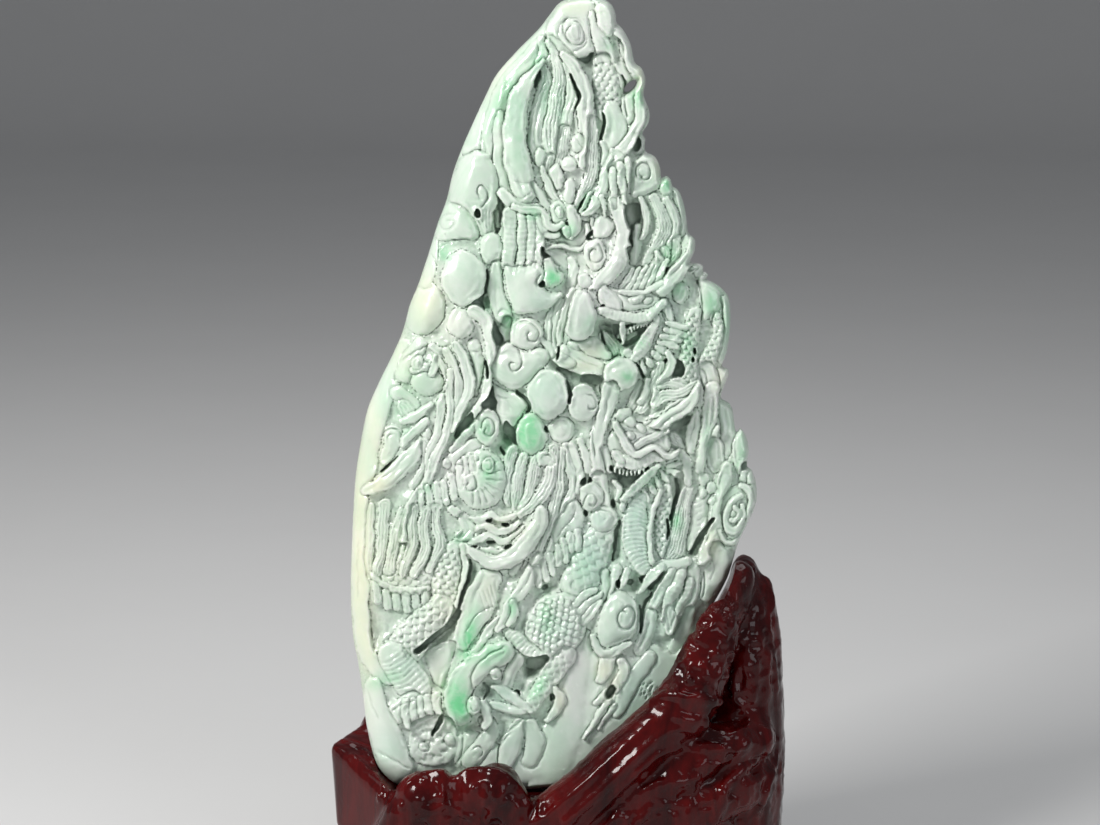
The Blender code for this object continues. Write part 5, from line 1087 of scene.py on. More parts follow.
TEAL = blobs([
    (638, 530, 18, 50, 0, 0.7), (590, 560, 22, 40, 15, 0.7), (665, 540, 12, 40, 0, 0.5), (600, 520, 12, 12, 0, 0.5),
    (650, 620, 30, 40, 0, 0.45), (640, 690, 26, 40, -30, 0.5), (500, 700, 26, 18, 0, 0.45), (560, 630, 24, 20, 0, 0.4),
    (540, 300, 14, 14, 0, 0.25), (548, 392, 18, 20, 0, 0.3), (510, 750, 30, 30, 0, 0.35), (410, 600, 20, 8, 0, 0.35),
    (400, 750, 30, 20, 0, 0.3), (405, 665, 16, 8, 0, 0.3), (670, 300, 16, 30, 0, 0.3), (630, 640, 30, 14, 0, 0.3),
    (700, 600, 14, 20, 0, 0.25), (480, 570, 10, 8, 0, 0.3), (540, 80, 8, 30, 0, 0.3), (516, 110, 9, 30, 0, 0.25),
    (580, 740, 40, 30, 0, 0.2), (508, 470, 14, 20, 0, 0.3)])
TINTS = {"green": np.clip(GREEN * (1 + 0.5 * NOISE_B) + 0.10 * NOISE_A, 0, 1),
         "cream": np.clip(CREAM * (1 + 0.25 * NOISE_B), 0, 1),
         "lavender": np.clip(LAVENDER * (1 + 0.3 * NOISE_A), 0, 1),
         "teal": np.clip(TEAL * (1 + 0.3 * NOISE_A), 0, 1)}

# relief for the plain back: the shallow, worn mountain and cloud carving is not modelled, this field stays zero
BACK_RELIEF = np.zeros(GX.shape)

# ------------------------------------------------------------------ finish of the relief
def sample(field, x, y):
    fx = np.clip((x - X0) / STEP, 0, NX - 1.001)
    fy = np.clip((y - Y0) / STEP, 0, NY - 1.001)
    ix, iy = fx.astype(int), fy.astype(int)
    tx, ty = fx - ix, fy - iy
    return ((field[iy, ix] * (1 - tx) + field[iy, ix + 1] * tx) * (1 - ty)
            + (field[iy + 1, ix] * (1 - tx) + field[iy + 1, ix + 1] * tx) * ty)


def combed(field, reach):
    """The field smeared along the run of the forms, so that its marks follow them."""
    gy, gx = np.gradient(blur(H, 2.4))
    turn = 0.5 * np.arctan2(blur(2 * gx * gy, 4.0), blur(gx * gx - gy * gy, 4.0)) + math.pi / 2
    ux, uy = np.cos(turn), np.sin(turn)
    total = field.copy()
    for way in (1.0, -1.0):
        px, py, vx, vy = GX, GY, way * ux, way * uy
        for _ in range(reach):
            px, py = px + 1.2 * vx, py + 1.2 * vy
            ix = np.clip(np.rint((px - X0) / STEP), 0, NX - 1).astype(int)
            iy = np.clip(np.rint((py - Y0) / STEP), 0, NY - 1).astype(int)
            nx, ny = ux[iy, ix], uy[iy, ix]
            same = np.where(nx * vx + ny * vy < 0, -1.0, 1.0)
            vx, vy = nx * same, ny * same
            total += field[iy, ix]
    return total / total.std()


# hand-cut lines wander a little
WANDER_X = GX + 2.4 * noise2(17.0, 41) + 0.9 * noise2(6.0, 43)
WANDER_Y = GY + 2.4 * noise2(17.0, 42) + 0.9 * noise2(6.0, 44)
H = sample(H, WANDER_X, WANDER_Y)
RECESS_SHADE = sample(RECESS_SHADE, WANDER_X, WANDER_Y)
DEEP = np.clip(sample(DEEP.astype(float), WANDER_X, WANDER_Y), 0, 1)
LAID = sample(LAID.astype(float), WANDER_X, WANDER_Y) > 0.5
# gaps between the laid forms are filled close to their neighbours, a little lower
cover = LAID.astype(float)
near_sum, near_w = blur(H * cover, 4.5), blur(cover, 4.5)
far_sum, far_w = blur(H * cover, 16.0), blur(cover, 16.0)
infill = (near_sum + 0.02 * far_sum + 1e-5 * GROUND) / (near_w + 0.02 * far_w + 1e-5)
dense = blur(cover, 2.4)
low = 0.5 + 2.1 * (1 - dense)
vein_cut = np.abs(noise2(7.0, 31)) ** 0.7
H = np.where(LAID, H, infill - low - 1.0 * (0.5 - vein_cut))
# gaps between the forms get painted shade, darker where forms are sparse
RECESS_SHADE = np.where(LAID, RECESS_SHADE, np.clip(0.05 + 0.40 * (1 - dense), 0, 0.34))
# steps between neighbouring forms are eased a little, deep pockets stay pockets
H = blur(H, 0.30)
broad = blur(H * (1 - DEEP), 11.0) / (blur(1 - DEEP, 11.0) + 1e-6)
fine = H - blur(H, 2.2)
calm = (0.67 - 0.19 * np.exp(-((GX - 400) / 60.0) ** 2 - ((GY - 480) / 150.0) ** 2)
        - 0.32 * np.exp(-((GX - 628) / 50.0) ** 2 - ((GY - 705) / 60.0) ** 2))
eased = broad + calm * (H - broad) + 0.40 * fine
pocket = broad - np.clip(broad - H, 0, 6.5)
H = eased * (1 - DEEP) + pocket * DEEP
H += 0.22 * noise2(14.0, 5) + 0.12 * noise2(4.0, 9)
# fine carving runs along the busy forms; pearls, horns and plain faces stay polished
busy = np.clip((blur(np.abs(H - blur(H, 2.2)), 7.0) - 0.16) / 0.22, 0, 1)
H += 0.30 * combed(noise2(3.4, 61, 1), 8) * busy * (1 - DEEP)
CRUMBLY = np.exp(-((GX - 428) / 22.0) ** 4 - ((GY - 743) / 21.0) ** 4)
H -= 2.6 * CRUMBLY * np.clip(noise2(5.0, 71) + 0.15, 0, 1)
# painted shade in the crumbly pits
RECESS_SHADE = np.maximum(RECESS_SHADE, 1.1 * CRUMBLY * np.clip(noise2(5.0, 71), 0, 0.8))
H = np.maximum(H, -9.0)
H = blur(H, 0.28)
# how sunken each point is: drives painted shade in crevices and hollows and a painted highlight on raised edges
CAV1 = blur(H, 1.6) - H
CAV2 = blur(H, 6.0) - H
RECESS_SHADE = blur(RECESS_SHADE, 0.5)


def rim(dist, radius):
    t = np.clip(dist / radius, 0, 1)
    return np.sqrt(np.clip(1 - (1 - t) ** 2, 0, 1))


DEPTH_IN = np.maximum(-SOLID, 0)
OVER_EDGE = np.maximum(-EDGE, 0)
SIDE = np.clip((GX - (470 - 0.05 * GY)) / 90.0, 0, 1)
FRONT_RIM = 22.0 * (1 - SIDE) + 5.0 * SIDE
BULGE = 4.0 * np.exp(-((GX - 555) / 120.0) ** 2 - ((GY - 430) / 300.0) ** 2) - 2.0
LIFT = H + BULGE
FRONT = np.where(LIFT > 0, rim(DEPTH_IN, FRONT_RIM) * LIFT, LIFT * rim(DEPTH_IN, 6.0))
BROAD = np.exp(-((GX - 550) / 190.0) ** 2 - ((GY - 430) / 430.0) ** 2)
# the back is plain, with shallow cloud outlines cut into it
cloud = noise2(84.0, 81, 1)
BACK_CUT = 0.75 * np.maximum.reduce([np.clip(1 - np.abs(cloud - lev) / 0.035, 0, 1) for lev in (-0.05, 0.22, 0.46)])
BACK = rim(OVER_EDGE, 42.0) * (24.0 * (0.55 + 0.45 * BROAD) - 0.2)
BACK = BACK * rim(np.maximum(-HOLE, 0), 9.0)
BACK = np.maximum(BACK - (BACK_RELIEF + BACK_CUT) * rim(OVER_EDGE, 60.0), 0.5 * rim(OVER_EDGE, 20))
CAP = 12.6 + 12.0 * np.clip((737 - GY) / 12.0, 0, 1)
FRONT = np.minimum(FRONT, np.minimum(CAP, 23.8))
FRONT = np.maximum(FRONT, -BACK * 0.62)

AX_A = np.array([1.0, 0.0, 0.0])
AX_B = np.array([0.0, math.sin(LEAN), math.cos(LEAN)])
AX_H = np.array([0.0, -math.cos(LEAN), math.sin(LEAN)])
SLAB_MID = np.array([0.0, 0.0, SLAB_Z])


def slab_xyz(x, y, h_mm):
    h = np.asarray(h_mm) * 1e-3
    k = np.where(h > 0, 1.0 - h / EYE_RANGE, 1.0)
    a = (np.asarray(x) - MID_X) * GRID * k
    b = (MID_Y - np.asarray(y)) * GRID * k
    return SLAB_MID + a[..., None] * AX_A + b[..., None] * AX_B + h[..., None] * AX_H


def sheet_mesh(name, front):
    """One side of the slab; its border points are the same for both sides."""
    sd = SOLID.copy()
    near = np.abs(sd) < 0.2 * STEP
    sd[near] = np.where(sd[near] < 0, -0.2, 0.2) * STEP
    ins = sd < 0
    idx = -np.ones(sd.shape, np.int64)
    idx[ins] = np.arange(ins.sum())
    height = FRONT if front else -BACK
    vx, vy, vh = [GX[ins]], [GY[ins]], [height[ins]]
    count = int(ins.sum())
    hcut = ins[:, :-1] != ins[:, 1:]
    j, i = np.nonzero(hcut)
    t = sd[j, i] / (sd[j, i] - sd[j, i + 1])
    hid = -np.ones(hcut.shape, np.int64)
    hid[j, i] = count + np.arange(len(j))
    vx.append(GX[j, i] + t * STEP)
    vy.append(GY[j, i])
    vh.append(np.zeros(len(j)))
    count += len(j)
    vcut = ins[:-1, :] != ins[1:, :]
    j, i = np.nonzero(vcut)
    t = sd[j, i] / (sd[j, i] - sd[j + 1, i])
    vid = -np.ones(vcut.shape, np.int64)
    vid[j, i] = count + np.arange(len(j))
    vx.append(GX[j, i])
    vy.append(GY[j, i] + t * STEP)
    vh.append(np.zeros(len(j)))
    co = slab_xyz(np.concatenate(vx), np.concatenate(vy), np.concatenate(vh))
    full = ins[:-1, :-1] & ins[1:, :-1] & ins[:-1, 1:] & ins[1:, 1:]
    part = (ins[:-1, :-1] | ins[1:, :-1] | ins[:-1, 1:] | ins[1:, 1:]) & ~full
    j, i = np.nonzero(full)
    a, b, c, d = idx[j, i], idx[j, i + 1], idx[j + 1, i + 1], idx[j + 1, i]
    # split each cell along its flatter diagonal
    flat = np.abs(height[j, i] - height[j + 1, i + 1]) < np.abs(height[j, i + 1] - height[j + 1, i])
    t1 = np.where(flat[:, None], np.stack([a, c, b], 1), np.stack([a, d, b], 1))
    t2 = np.where(flat[:, None], np.stack([a, d, c], 1), np.stack([b, d, c], 1))
    tris = [t1, t2]
    extra = []
    for j, i in zip(*np.nonzero(part)):
        ring = ((j, i), (j, i + 1), (j + 1, i + 1), (j + 1, i))
        cut = (hid[j, i], vid[j, i + 1] if i + 1 < vid.shape[1] else -1, hid[j + 1, i], vid[j, i])
        inn = [bool(ins[r]) for r in ring]
        if sum(inn) == 2 and inn[0] == inn[2]:
            loops = [[cut[(k - 1) % 4], idx[ring[k]], cut[k]] for k in range(4) if inn[k]]
        else:
            loop = []
            for k in range(4):
                if inn[k]:
                    loop.append(idx[ring[k]])
                if inn[k] != inn[(k + 1) % 4]:
                    loop.append(cut[k])
            loops = [loop]
        for loop in loops:
            for k in range(1, len(loop) - 1):
                extra.append((loop[0], loop[k + 1], loop[k]))
    tris.append(np.array(extra, np.int64))
    tris = np.concatenate(tris)
    if not front:
        tris = tris[:, ::-1]
    mesh = bpy.data.meshes.new(name)
    mesh.vertices.add(len(co))
    mesh.vertices.foreach_set("co", co.astype(np.float32).ravel())
    mesh.loops.add(len(tris) * 3)
    mesh.loops.foreach_set("vertex_index", tris.astype(np.int32).ravel())
    mesh.polygons.add(len(tris))
    mesh.polygons.foreach_set("loop_start", np.arange(0, len(tris) * 3, 3, dtype=np.int32))
    mesh.polygons.foreach_set("loop_total", np.full(len(tris), 3, np.int32))
    mesh.update(calc_edges=True)
    mesh.validate()
    return mesh


def thinned(mesh, want, name):
    """Collapse short edges down to the wanted number of triangles, border kept."""
    ob = bpy.data.objects.new(name, mesh)
    bpy.context.scene.collection.objects.link(ob)
    mod = ob.modifiers.new("thin", "DECIMATE")
    mod.ratio = min(1.0, want / len(mesh.polygons))
    deps = bpy.context.evaluated_depsgraph_get()
    out = bpy.data.meshes.new_from_object(ob.evaluated_get(deps))
    bpy.data.objects.remove(ob, do_unlink=True)
    return out


def coords(mesh):
    co = np.empty(len(mesh.vertices) * 3, np.float32)
    mesh.vertices.foreach_get("co", co)
    return co.reshape(-1, 3).astype(float)


def attribute(mesh, name, values):
    att = mesh.attributes.new(name, "FLOAT", "POINT")
    att.data.foreach_set("value", np.asarray(values, np.float32))


full_front = sheet_mesh("front", True)
full_back = sheet_mesh("back", False)
both = bmesh.new()
both.from_mesh(full_front)
both.from_mesh(full_back)
bmesh.ops.remove_doubles(both, verts=[v for v in both.verts if v.is_boundary], dist=1e-6)
slab = bpy.data.meshes.new("slab")
both.to_mesh(slab)
both.free()
n_front, n_back = len(full_front.polygons), len(full_back.polygons)
# the back is plain, so it is thinned first and more strongly
slab = thinned(slab, FRONT_TRIS + BACK_TRIS, "slab_thin")
slab.name = "jade_slab"
co = coords(slab)
rel = co - SLAB_MID
hh = rel @ AX_H
kk = np.where(hh > 0, 1.0 - hh / EYE_RANGE, 1.0)
sx = MID_X + rel[:, 0] / GRID / kk
sy = MID_Y - (rel @ AX_B) / GRID / kk
is_front = (hh * 1000 > -0.3).astype(float)
near_front = sample(FRONT, sx, sy)
is_front = (np.abs(hh * 1000 - near_front) < np.abs(hh * 1000 + sample(BACK, sx, sy))).astype(float)
# the crevice, hollow and recess attributes carry painted shade in sunken places; the edge attribute carries a painted
# highlight on raised edges
attribute(slab, "crevice", np.clip((sample(CAV1, sx, sy) - 0.05) / 0.9, 0, 1) * is_front)
attribute(slab, "hollow_shade", np.clip((sample(CAV2, sx, sy) - 0.5) / 4.0, 0, 1) * is_front)
attribute(slab, "edge", np.clip((-sample(CAV1, sx, sy) - 0.03) / 0.5, 0, 1) * is_front)
attribute(slab, "recess_shade", sample(RECESS_SHADE, sx, sy) * is_front)
for tint_name, tint_field in TINTS.items():
    attribute(slab, tint_name, sample(tint_field, sx, sy) * (0.25 + 0.75 * is_front))
slab.shade_smooth()
jade = bpy.data.objects.new("jade_carving_fine", slab)
bpy.context.scene.collection.objects.link(jade)
print("slab triangles", len(slab.polygons))


# ------------------------------------------------------------------ stand
AIM = Vector((0.0, 0.0, SLAB_Z))
SQUARES = 1.0 / GRID * EYE_RANGE


def stand_xyz(x, y, depth):
    """Point seen at drafting position (x, y) that stands at world Y = depth."""
    k = (MID_Y - y) / SQUARES
    c, s = math.cos(EYE_TILT), math.sin(EYE_TILT)
    dz = (k * (EYE_RANGE + depth * c) - depth * s) / (c + k * s)
    rng = EYE_RANGE + depth * c - dz * s
    return Vector(((x - MID_X) / SQUARES * rng, depth, AIM.z + dz))


def hull(bm, points):
    made = [bm.verts.new(p) for p in points]
    out = bmesh.ops.convex_hull(bm, input=made)
    junk = [v for v in out["geom_interior"] if isinstance(v, bmesh.types.BMVert)]
    if junk:
        bmesh.ops.delete(bm, geom=junk, context="VERTS")


BALL = [Vector((math.cos(2 * math.pi * k / 14) * math.cos(e), math.sin(2 * math.pi * k / 14) * math.cos(e), math.sin(e)))
        for e in (-1.25, -0.8, -0.3, 0.3, 0.8, 1.25) for k in range(14)] + [Vector((0, 0, 1)), Vector((0, 0, -1))]
PEA = [Vector((math.cos(2 * math.pi * k / 8) * math.cos(e), math.sin(2 * math.pi * k / 8) * math.cos(e), math.sin(e)))
       for e in (-1.1, -0.4, 0.4, 1.1) for k in range(8)] + [Vector((0, 0, 1)), Vector((0, 0, -1))]


def limb(bm, path, ball=BALL):
    sized = []
    for p, r in path:
        r3 = Vector((r, r, r)) if isinstance(r, float) else Vector(r)
        sized.append([p + Vector((b.x * r3.x, b.y * r3.y, b.z * r3.z)) for b in ball])
    for one, two in zip(sized, sized[1:]):
        hull(bm, one + two)
    if len(sized) == 1:
        hull(bm, sized[0])


def stand_shapes(bm):
    s = stand_xyz
    ring = [(math.cos(2 * math.pi * k / 56), math.sin(2 * math.pi * k / 56)) for k in range(56)]

    def disc(rx, ry, z):
        return [Vector((0.004 + rx * cx, 0.001 + ry * cy, z)) for cx, cy in ring]

    hull(bm, disc(0.092, 0.057, -0.004) + disc(0.092, 0.057, 0.006) + disc(0.088, 0.053, 0.011))
    hull(bm, disc(0.086, 0.051, 0.008) + disc(0.083, 0.048, 0.018))
    hull(bm, disc(0.083, 0.048, 0.016) + disc(0.088, 0.053, 0.030) + disc(0.086, 0.050, 0.044))
    # left horn
    hull(bm, [s(331, 745, -0.012), s(333, 752, 0.016), s(366, 722, 0.016), s(372, 728, 0.030),
              s(394, 789, -0.044), s(402, 823, -0.057), s(337, 826, -0.014), s(338, 826, 0.020),
              Vector((-0.084, -0.008, 0.022)), Vector((-0.066, -0.047, 0.022)), Vector((-0.080, 0.034, 0.024)),
              s(396, 770, 0.034), s(392, 756, 0.012)])
    # bosses at the front
    limb(bm, [(s(424, 796, -0.050), (0.0140, 0.011, 0.0120)), (s(430, 850, -0.044), (0.018, 0.014, 0.018))])
    limb(bm, [(s(441, 788, -0.052), (0.0060, 0.009, 0.0095)), (s(446, 840, -0.046), (0.012, 0.012, 0.012))])
    limb(bm, [(s(470, 790, -0.051), (0.0080, 0.009, 0.0110)), (s(474, 840, -0.046), (0.012, 0.012, 0.012))])
    limb(bm, [(s(496, 789, -0.051), (0.0125, 0.012, 0.0120)), (s(512, 812, -0.051), (0.0100, 0.010, 0.0100)),
              (s(500, 850, -0.044), (0.020, 0.014, 0.018))])
    limb(bm, [(s(402, 812, -0.050), (0.0080, 0.008, 0.0080)), (s(392, 850, -0.042), (0.012, 0.012, 0.012))])
    # ramp along the slab's lower right edge
    limb(bm, [(s(544, 824, -0.050), (0.012, 0.010, 0.012)), (s(585, 794, -0.050), (0.012, 0.012, 0.013)),
              (s(626, 758, -0.047), (0.013, 0.013, 0.014)), (s(661, 728, -0.043), (0.013, 0.013, 0.014)),
              (s(688, 698, -0.040), (0.014, 0.014, 0.014)), (s(707, 655, -0.034), (0.012, 0.013, 0.013)),
              (s(722, 616, -0.027), (0.010, 0.012, 0.012)), (s(740, 580, -0.019), (0.007, 0.010, 0.009))])
    # lower ridges of the right front
    limb(bm, [(s(560, 860, -0.046), (0.016, 0.012, 0.016)), (s(620, 820, -0.048), (0.014, 0.011, 0.013)),
              (s(672, 775, -0.044), (0.012, 0.011, 0.011)), (s(715, 745, -0.038), (0.013, 0.012, 0.010)),
              (s(755, 738, -0.026), (0.010, 0.012, 0.009))])
    limb(bm, [(s(610, 880, -0.044), (0.018, 0.012, 0.018)), (s(668, 815, -0.044), (0.016, 0.012, 0.015)),
              (s(725, 785, -0.036), (0.016, 0.013, 0.014)), (s(755, 780, -0.022), (0.010, 0.014, 0.012))])
    # tower
    limb(bm, [(s(745, 572, 0.0), (0.006, 0.014, 0.008)), (s(748, 610, -0.002), (0.011, 0.020, 0.013)),
              (s(744, 660, -0.004), (0.016, 0.024, 0.016)), (s(738, 712, -0.002), (0.020, 0.029, 0.018)),
              (s(735, 770, 0.0), (0.024, 0.034, 0.020)), (s(720, 840, 0.0), (0.030, 0.040, 0.024))])
    limb(bm, [(s(765, 590, -0.004), (0.0035, 0.006, 0.007)), (s(768, 640, -0.002), (0.006, 0.012, 0.014)),
              (s(769, 700, 0.0), (0.007, 0.018, 0.016)), (s(764, 752, 0.0), (0.010, 0.022, 0.014))])
    # wall behind the slab in low swells
    limb(bm, [(Vector((-0.078, 0.020, 0.062)), (0.016, 0.018, 0.024)), (Vector((-0.050, 0.030, 0.056)), (0.020, 0.020, 0.028)),
              (Vector((-0.014, 0.033, 0.050)), (0.022, 0.020, 0.030)), (Vector((0.022, 0.033, 0.054)), (0.022, 0.020, 0.032)),
              (Vector((0.056, 0.029, 0.066)), (0.020, 0.020, 0.036)), (Vector((0.082, 0.016, 0.080)), (0.016, 0.022, 0.040))])
    limb(bm, [(Vector((-0.060, -0.036, 0.036)), (0.018, 0.016, 0.018)), (Vector((-0.020, -0.042, 0.036)), (0.020, 0.015, 0.018)),
              (Vector((0.024, -0.042, 0.036)), (0.020, 0.015, 0.018)), (Vector((0.066, -0.034, 0.040)), (0.020, 0.016, 0.022))])
    hull(bm, disc(0.080, 0.040, 0.030) + disc(0.078, 0.038, 0.060))
    # carved swells on the back wall and round the foot
    for x0, z0, x1, z1, r in ((-0.070, 0.030, -0.052, 0.080, 0.007), (-0.040, 0.030, -0.020, 0.074, 0.006), (0.0, 0.028, 0.004, 0.076, 0.007),
                              (0.034, 0.030, 0.030, 0.082, 0.006), (0.062, 0.030, 0.070, 0.098, 0.007)):
        limb(bm, [(Vector((x0, 0.045, z0)), r), (Vector(((x0 + x1) / 2 + 0.006, 0.050, (z0 + z1) / 2)), r * 1.1),
                  (Vector((x1, 0.046, z1)), r)])


def fused(bm, voxel, name, smooth):
    bmesh.ops.triangulate(bm, faces=bm.faces)
    raw = bpy.data.meshes.new(name)
    bm.to_mesh(raw)
    bm.free()
    ob = bpy.data.objects.new(name, raw)
    bpy.context.scene.collection.objects.link(ob)
    mod = ob.modifiers.new("fuse", "REMESH")
    mod.mode = "VOXEL"
    mod.voxel_size = voxel
    ease = ob.modifiers.new("ease", "SMOOTH")
    ease.factor = 0.5
    ease.iterations = smooth
    return baked(ob, name)


def baked(ob, name):
    deps = bpy.context.evaluated_depsgraph_get()
    mesh = bpy.data.meshes.new_from_object(ob.evaluated_get(deps))
    mesh.name = name
    bpy.data.objects.remove(ob, do_unlink=True)
    return mesh


shape = bmesh.new()
stand_shapes(shape)
core = fused(shape, 0.0020, "stand_core", 2)
look = bmesh.new()
look.from_mesh(core)
tree = BVHTree.FromBMesh(look)
look.free()
EYE = AIM - Vector((0.0, math.cos(EYE_TILT), -math.sin(EYE_TILT))) * EYE_RANGE


def on_wood(x, y, sink=0.0):
    """Point of the wood seen at drafting position (x, y), sunk by some metres."""
    ray = (stand_xyz(x, y, 0.0) - EYE).normalized()
    hit = tree.ray_cast(EYE, ray)
    return None if hit[0] is None else hit[0] + ray * sink


shape = bmesh.new()
shape.from_mesh(core)


def trail(points, sink=0.0):
    """Raised rib following the wood's surface; points are (x, y, r) in squares."""
    last = None
    for x, y, r in spline(points, 5.0):
        p = on_wood(x, y, sink)
        if p is None or (last is not None and (p - last[0]).length > 0.012):
            last = None
            continue
        here = (p, float(r) * GRID)
        if last is not None:
            limb(shape, [last, here], PEA)
        last = here


for pts, sink in (
        ([(566, 822, 5), (600, 792, 6), (630, 762, 6), (650, 744, 5), (664, 733, 4), (680, 728, 4), (702, 731, 4), (722, 738, 4), (745, 729, 4), (758, 714, 3)], 0.0006),
        ([(536, 823, 5), (570, 797, 5), (600, 770, 5), (628, 744, 4), (650, 722, 3), (664, 708, 2)], 0.0010),
        ([(584, 825, 4), (612, 794, 5), (640, 768, 5), (662, 752, 4), (692, 746, 5), (720, 748, 5), (750, 742, 4)], 0.0008),
        ([(606, 828, 4), (626, 804, 4), (648, 790, 4), (672, 782, 4), (694, 780, 3)], 0.0002),
        ([(632, 828, 3), (646, 812, 4), (664, 804, 4), (684, 806, 3)], 0.0002),
        ([(652, 702, 4), (670, 695, 5), (700, 700, 6), (728, 700, 5), (752, 690, 4)], 0.0006),
        ([(676, 716, 5), (698, 722, 7), (722, 720, 6), (744, 708, 4)], 0.0008),
        ([(706, 616, 3), (722, 622, 4), (738, 634, 4), (756, 642, 3)], 0.0004),
        ([(698, 630, 3), (716, 640, 3), (736, 652, 4), (758, 664, 3)], 0.0004),
        ([(726, 612, 3), (738, 628, 4), (744, 648, 4), (748, 676, 4), (752, 700, 4)], 0.0004),
        ([(712, 654, 2.4), (722, 655, 2.6), (722, 668, 2.6), (714, 680, 2.6), (706, 676, 2.4), (708, 662, 2.4), (712, 654, 2.2)], 0.0),
        ([(740, 666, 3), (734, 682, 4), (738, 700, 4), (748, 716, 3)], 0.0002),
        ([(762, 586, 2), (770, 590, 2.4), (773, 604, 2.4), (768, 622, 2.4), (772, 650, 2.6), (776, 690, 3)], 0.0002),
        ([(736, 566, 2.6), (729, 580, 2.6), (724, 594, 2.6), (714, 606, 2.6), (702, 620, 2.6)], 0.0004),
        ([(756, 760, 5), (738, 772, 6), (722, 792, 6), (714, 822, 5)], 0.0006),
        ([(776, 756, 4), (768, 784, 5), (756, 812, 5)], 0.0006),
        ([(700, 764, 4), (690, 792, 5), (688, 822, 5)], 0.0006),
        ([(404, 790, 3), (414, 780, 4), (428, 774, 4), (442, 773, 3)], 0.0006),
        ([(457, 778, 3), (466, 772, 4), (484, 770, 4), (502, 774, 4), (518, 788, 4), (528, 808, 4)], 0.0006),
        ([(452, 782, 2.6), (455, 800, 3), (452, 824, 3)], 0.0002),
        ([(410, 826, 3), (424, 812, 3), (444, 806, 3), (462, 812, 3), (476, 826, 3)], 0.0004),
        ([(486, 826, 3), (494, 808, 3.4), (508, 800, 3), (518, 806, 2.6)], 0.0004),
        ([(352, 756, 3), (364, 768, 3.4), (378, 780, 3.4), (392, 792, 3)], 0.0004),
        ([(346, 742, 3), (360, 748, 3), (374, 762, 3.4), (386, 776, 3)], 0.0004)):
    trail(pts, sink)
STUDS = [(402, 806, 4.6), (425, 781, 3.8), (475, 788, 3.8), (437, 797, 4), (443, 795, 3), (480, 810, 3.8), (508, 785, 3.2), (420, 800, 3.4),
         (460, 800, 3.4), (496, 800, 3.4), (365, 771, 2.8), (374, 776, 3), (383, 788, 3.6), (391, 796, 4), (358, 762, 2.6), (379, 799, 3), (430, 820, 4),
         (753, 570, 3.4), (701, 639, 4), (693, 656, 4), (689, 680, 4.6), (741, 655, 4.4), (721, 639, 2.8), (733, 643, 3.2), (716, 651, 3),
         (710, 625, 3), (676, 672, 3.4), (703, 664, 3.2), (697, 690, 3), (678, 688, 3), (712, 690, 3.4), (728, 664, 3), (660, 690, 2.6),
         (700, 700, 2.4), (658, 788, 2.4), (664, 783, 2.4), (671, 780, 2.4), (678, 777, 2.4), (684, 778, 2.4), (676, 793, 2.4), (700, 770, 3),
         (650, 806, 4), (668, 812, 4), (640, 818, 4), (690, 800, 3), (742, 606, 2.4), (764, 605, 2.2), (765, 620, 2), (752, 628, 2.6), (744, 690, 3)]
for x, y, r in STUDS:
    p = on_wood(x, y, 0.0002)
    if p is not None:
        limb(shape, [(p, r * GRID)], PEA)
fine_stand = fused(shape, 0.00118, "stand_fine", 1)


def lattice(points, cell, seed):
    """Smooth 3-D value noise at the given points, -1..1."""
    rng = np.random.RandomState(seed)
    table = rng.rand(4096) * 2 - 1
    f = points / cell + 50.0
    i = np.floor(f).astype(np.int64)
    t = f - i
    t = t * t * (3 - 2 * t)
    out = np.zeros(len(points))
    for dx in (0, 1):
        for dy in (0, 1):
            for dz in (0, 1):
                key = ((i[:, 0] + dx) * 73856093 ^ (i[:, 1] + dy) * 19349663 ^ (i[:, 2] + dz) * 83492791) % 4096
                wgt = (t[:, 0] if dx else 1 - t[:, 0]) * (t[:, 1] if dy else 1 - t[:, 1]) * (t[:, 2] if dz else 1 - t[:, 2])
                out += wgt * table[key]
    return out


def seen_at(points):
    """Drafting position at which points of the stand are seen."""
    rel = points - np.array(EYE)
    dirv = np.array([0.0, math.cos(EYE_TILT), -math.sin(EYE_TILT)])
    up = np.array([0.0, math.sin(EYE_TILT), math.cos(EYE_TILT)])
    depth = rel @ dirv
    return MID_X + rel[:, 0] / depth * SQUARES, MID_Y - (rel @ up) / depth * SQUARES


def patch(u, v, cx, cy, rx, ry, soft=0.35):
    q = np.hypot((u - cx) / rx, (v - cy) / ry)
    return np.clip((1 + soft - q) / (2 * soft), 0, 1)


co = coords(fine_stand)
nor = np.empty(len(fine_stand.vertices) * 3, np.float32)
fine_stand.vertices.foreach_get("normal", nor)
nor = nor.reshape(-1, 3).astype(float)
u, v = seen_at(co)
face_on = np.clip(-nor[:, 1] * 2 + 0.4, 0, 1)
burl = np.maximum.reduce([patch(u, v, 722, 650, 50, 60), patch(u, v, 655, 805, 46, 30), patch(u, v, 470, 810, 70, 24), patch(u, v, 380, 785, 24, 22),
                          patch(u, v, 735, 770, 46, 50)])
back_side = np.clip((co[:, 1] - 0.01) / 0.02, 0, 1)
rough = 0.22 + 0.50 * np.maximum(burl * face_on, 0.8 * back_side) - 0.17 * patch(u, v, 612, 765, 70, 60) * face_on
face_left = np.clip((-nor[:, 0] - 0.45) * 4, 0, 1) * (co[:, 0] < -0.05)
rough = np.clip(rough * (1 - face_left), 0, 1) * np.clip((co[:, 2] - 0.012) / 0.012, 0, 1)
n1 = lattice(co, 0.0105, 1)
n2 = lattice(co + 0.013, 0.0056, 2)
n3 = lattice(co, 0.0030, 3)
swell = 0.0014 * n1 + 0.0013 * (1 - 2.2 * np.abs(n2)) + 0.0005 * (1 - 2 * np.abs(n3))
co = co + nor * (swell * rough)[:, None]
fine_stand.vertices.foreach_set("co", co.astype(np.float32).ravel())
fine_stand.update()
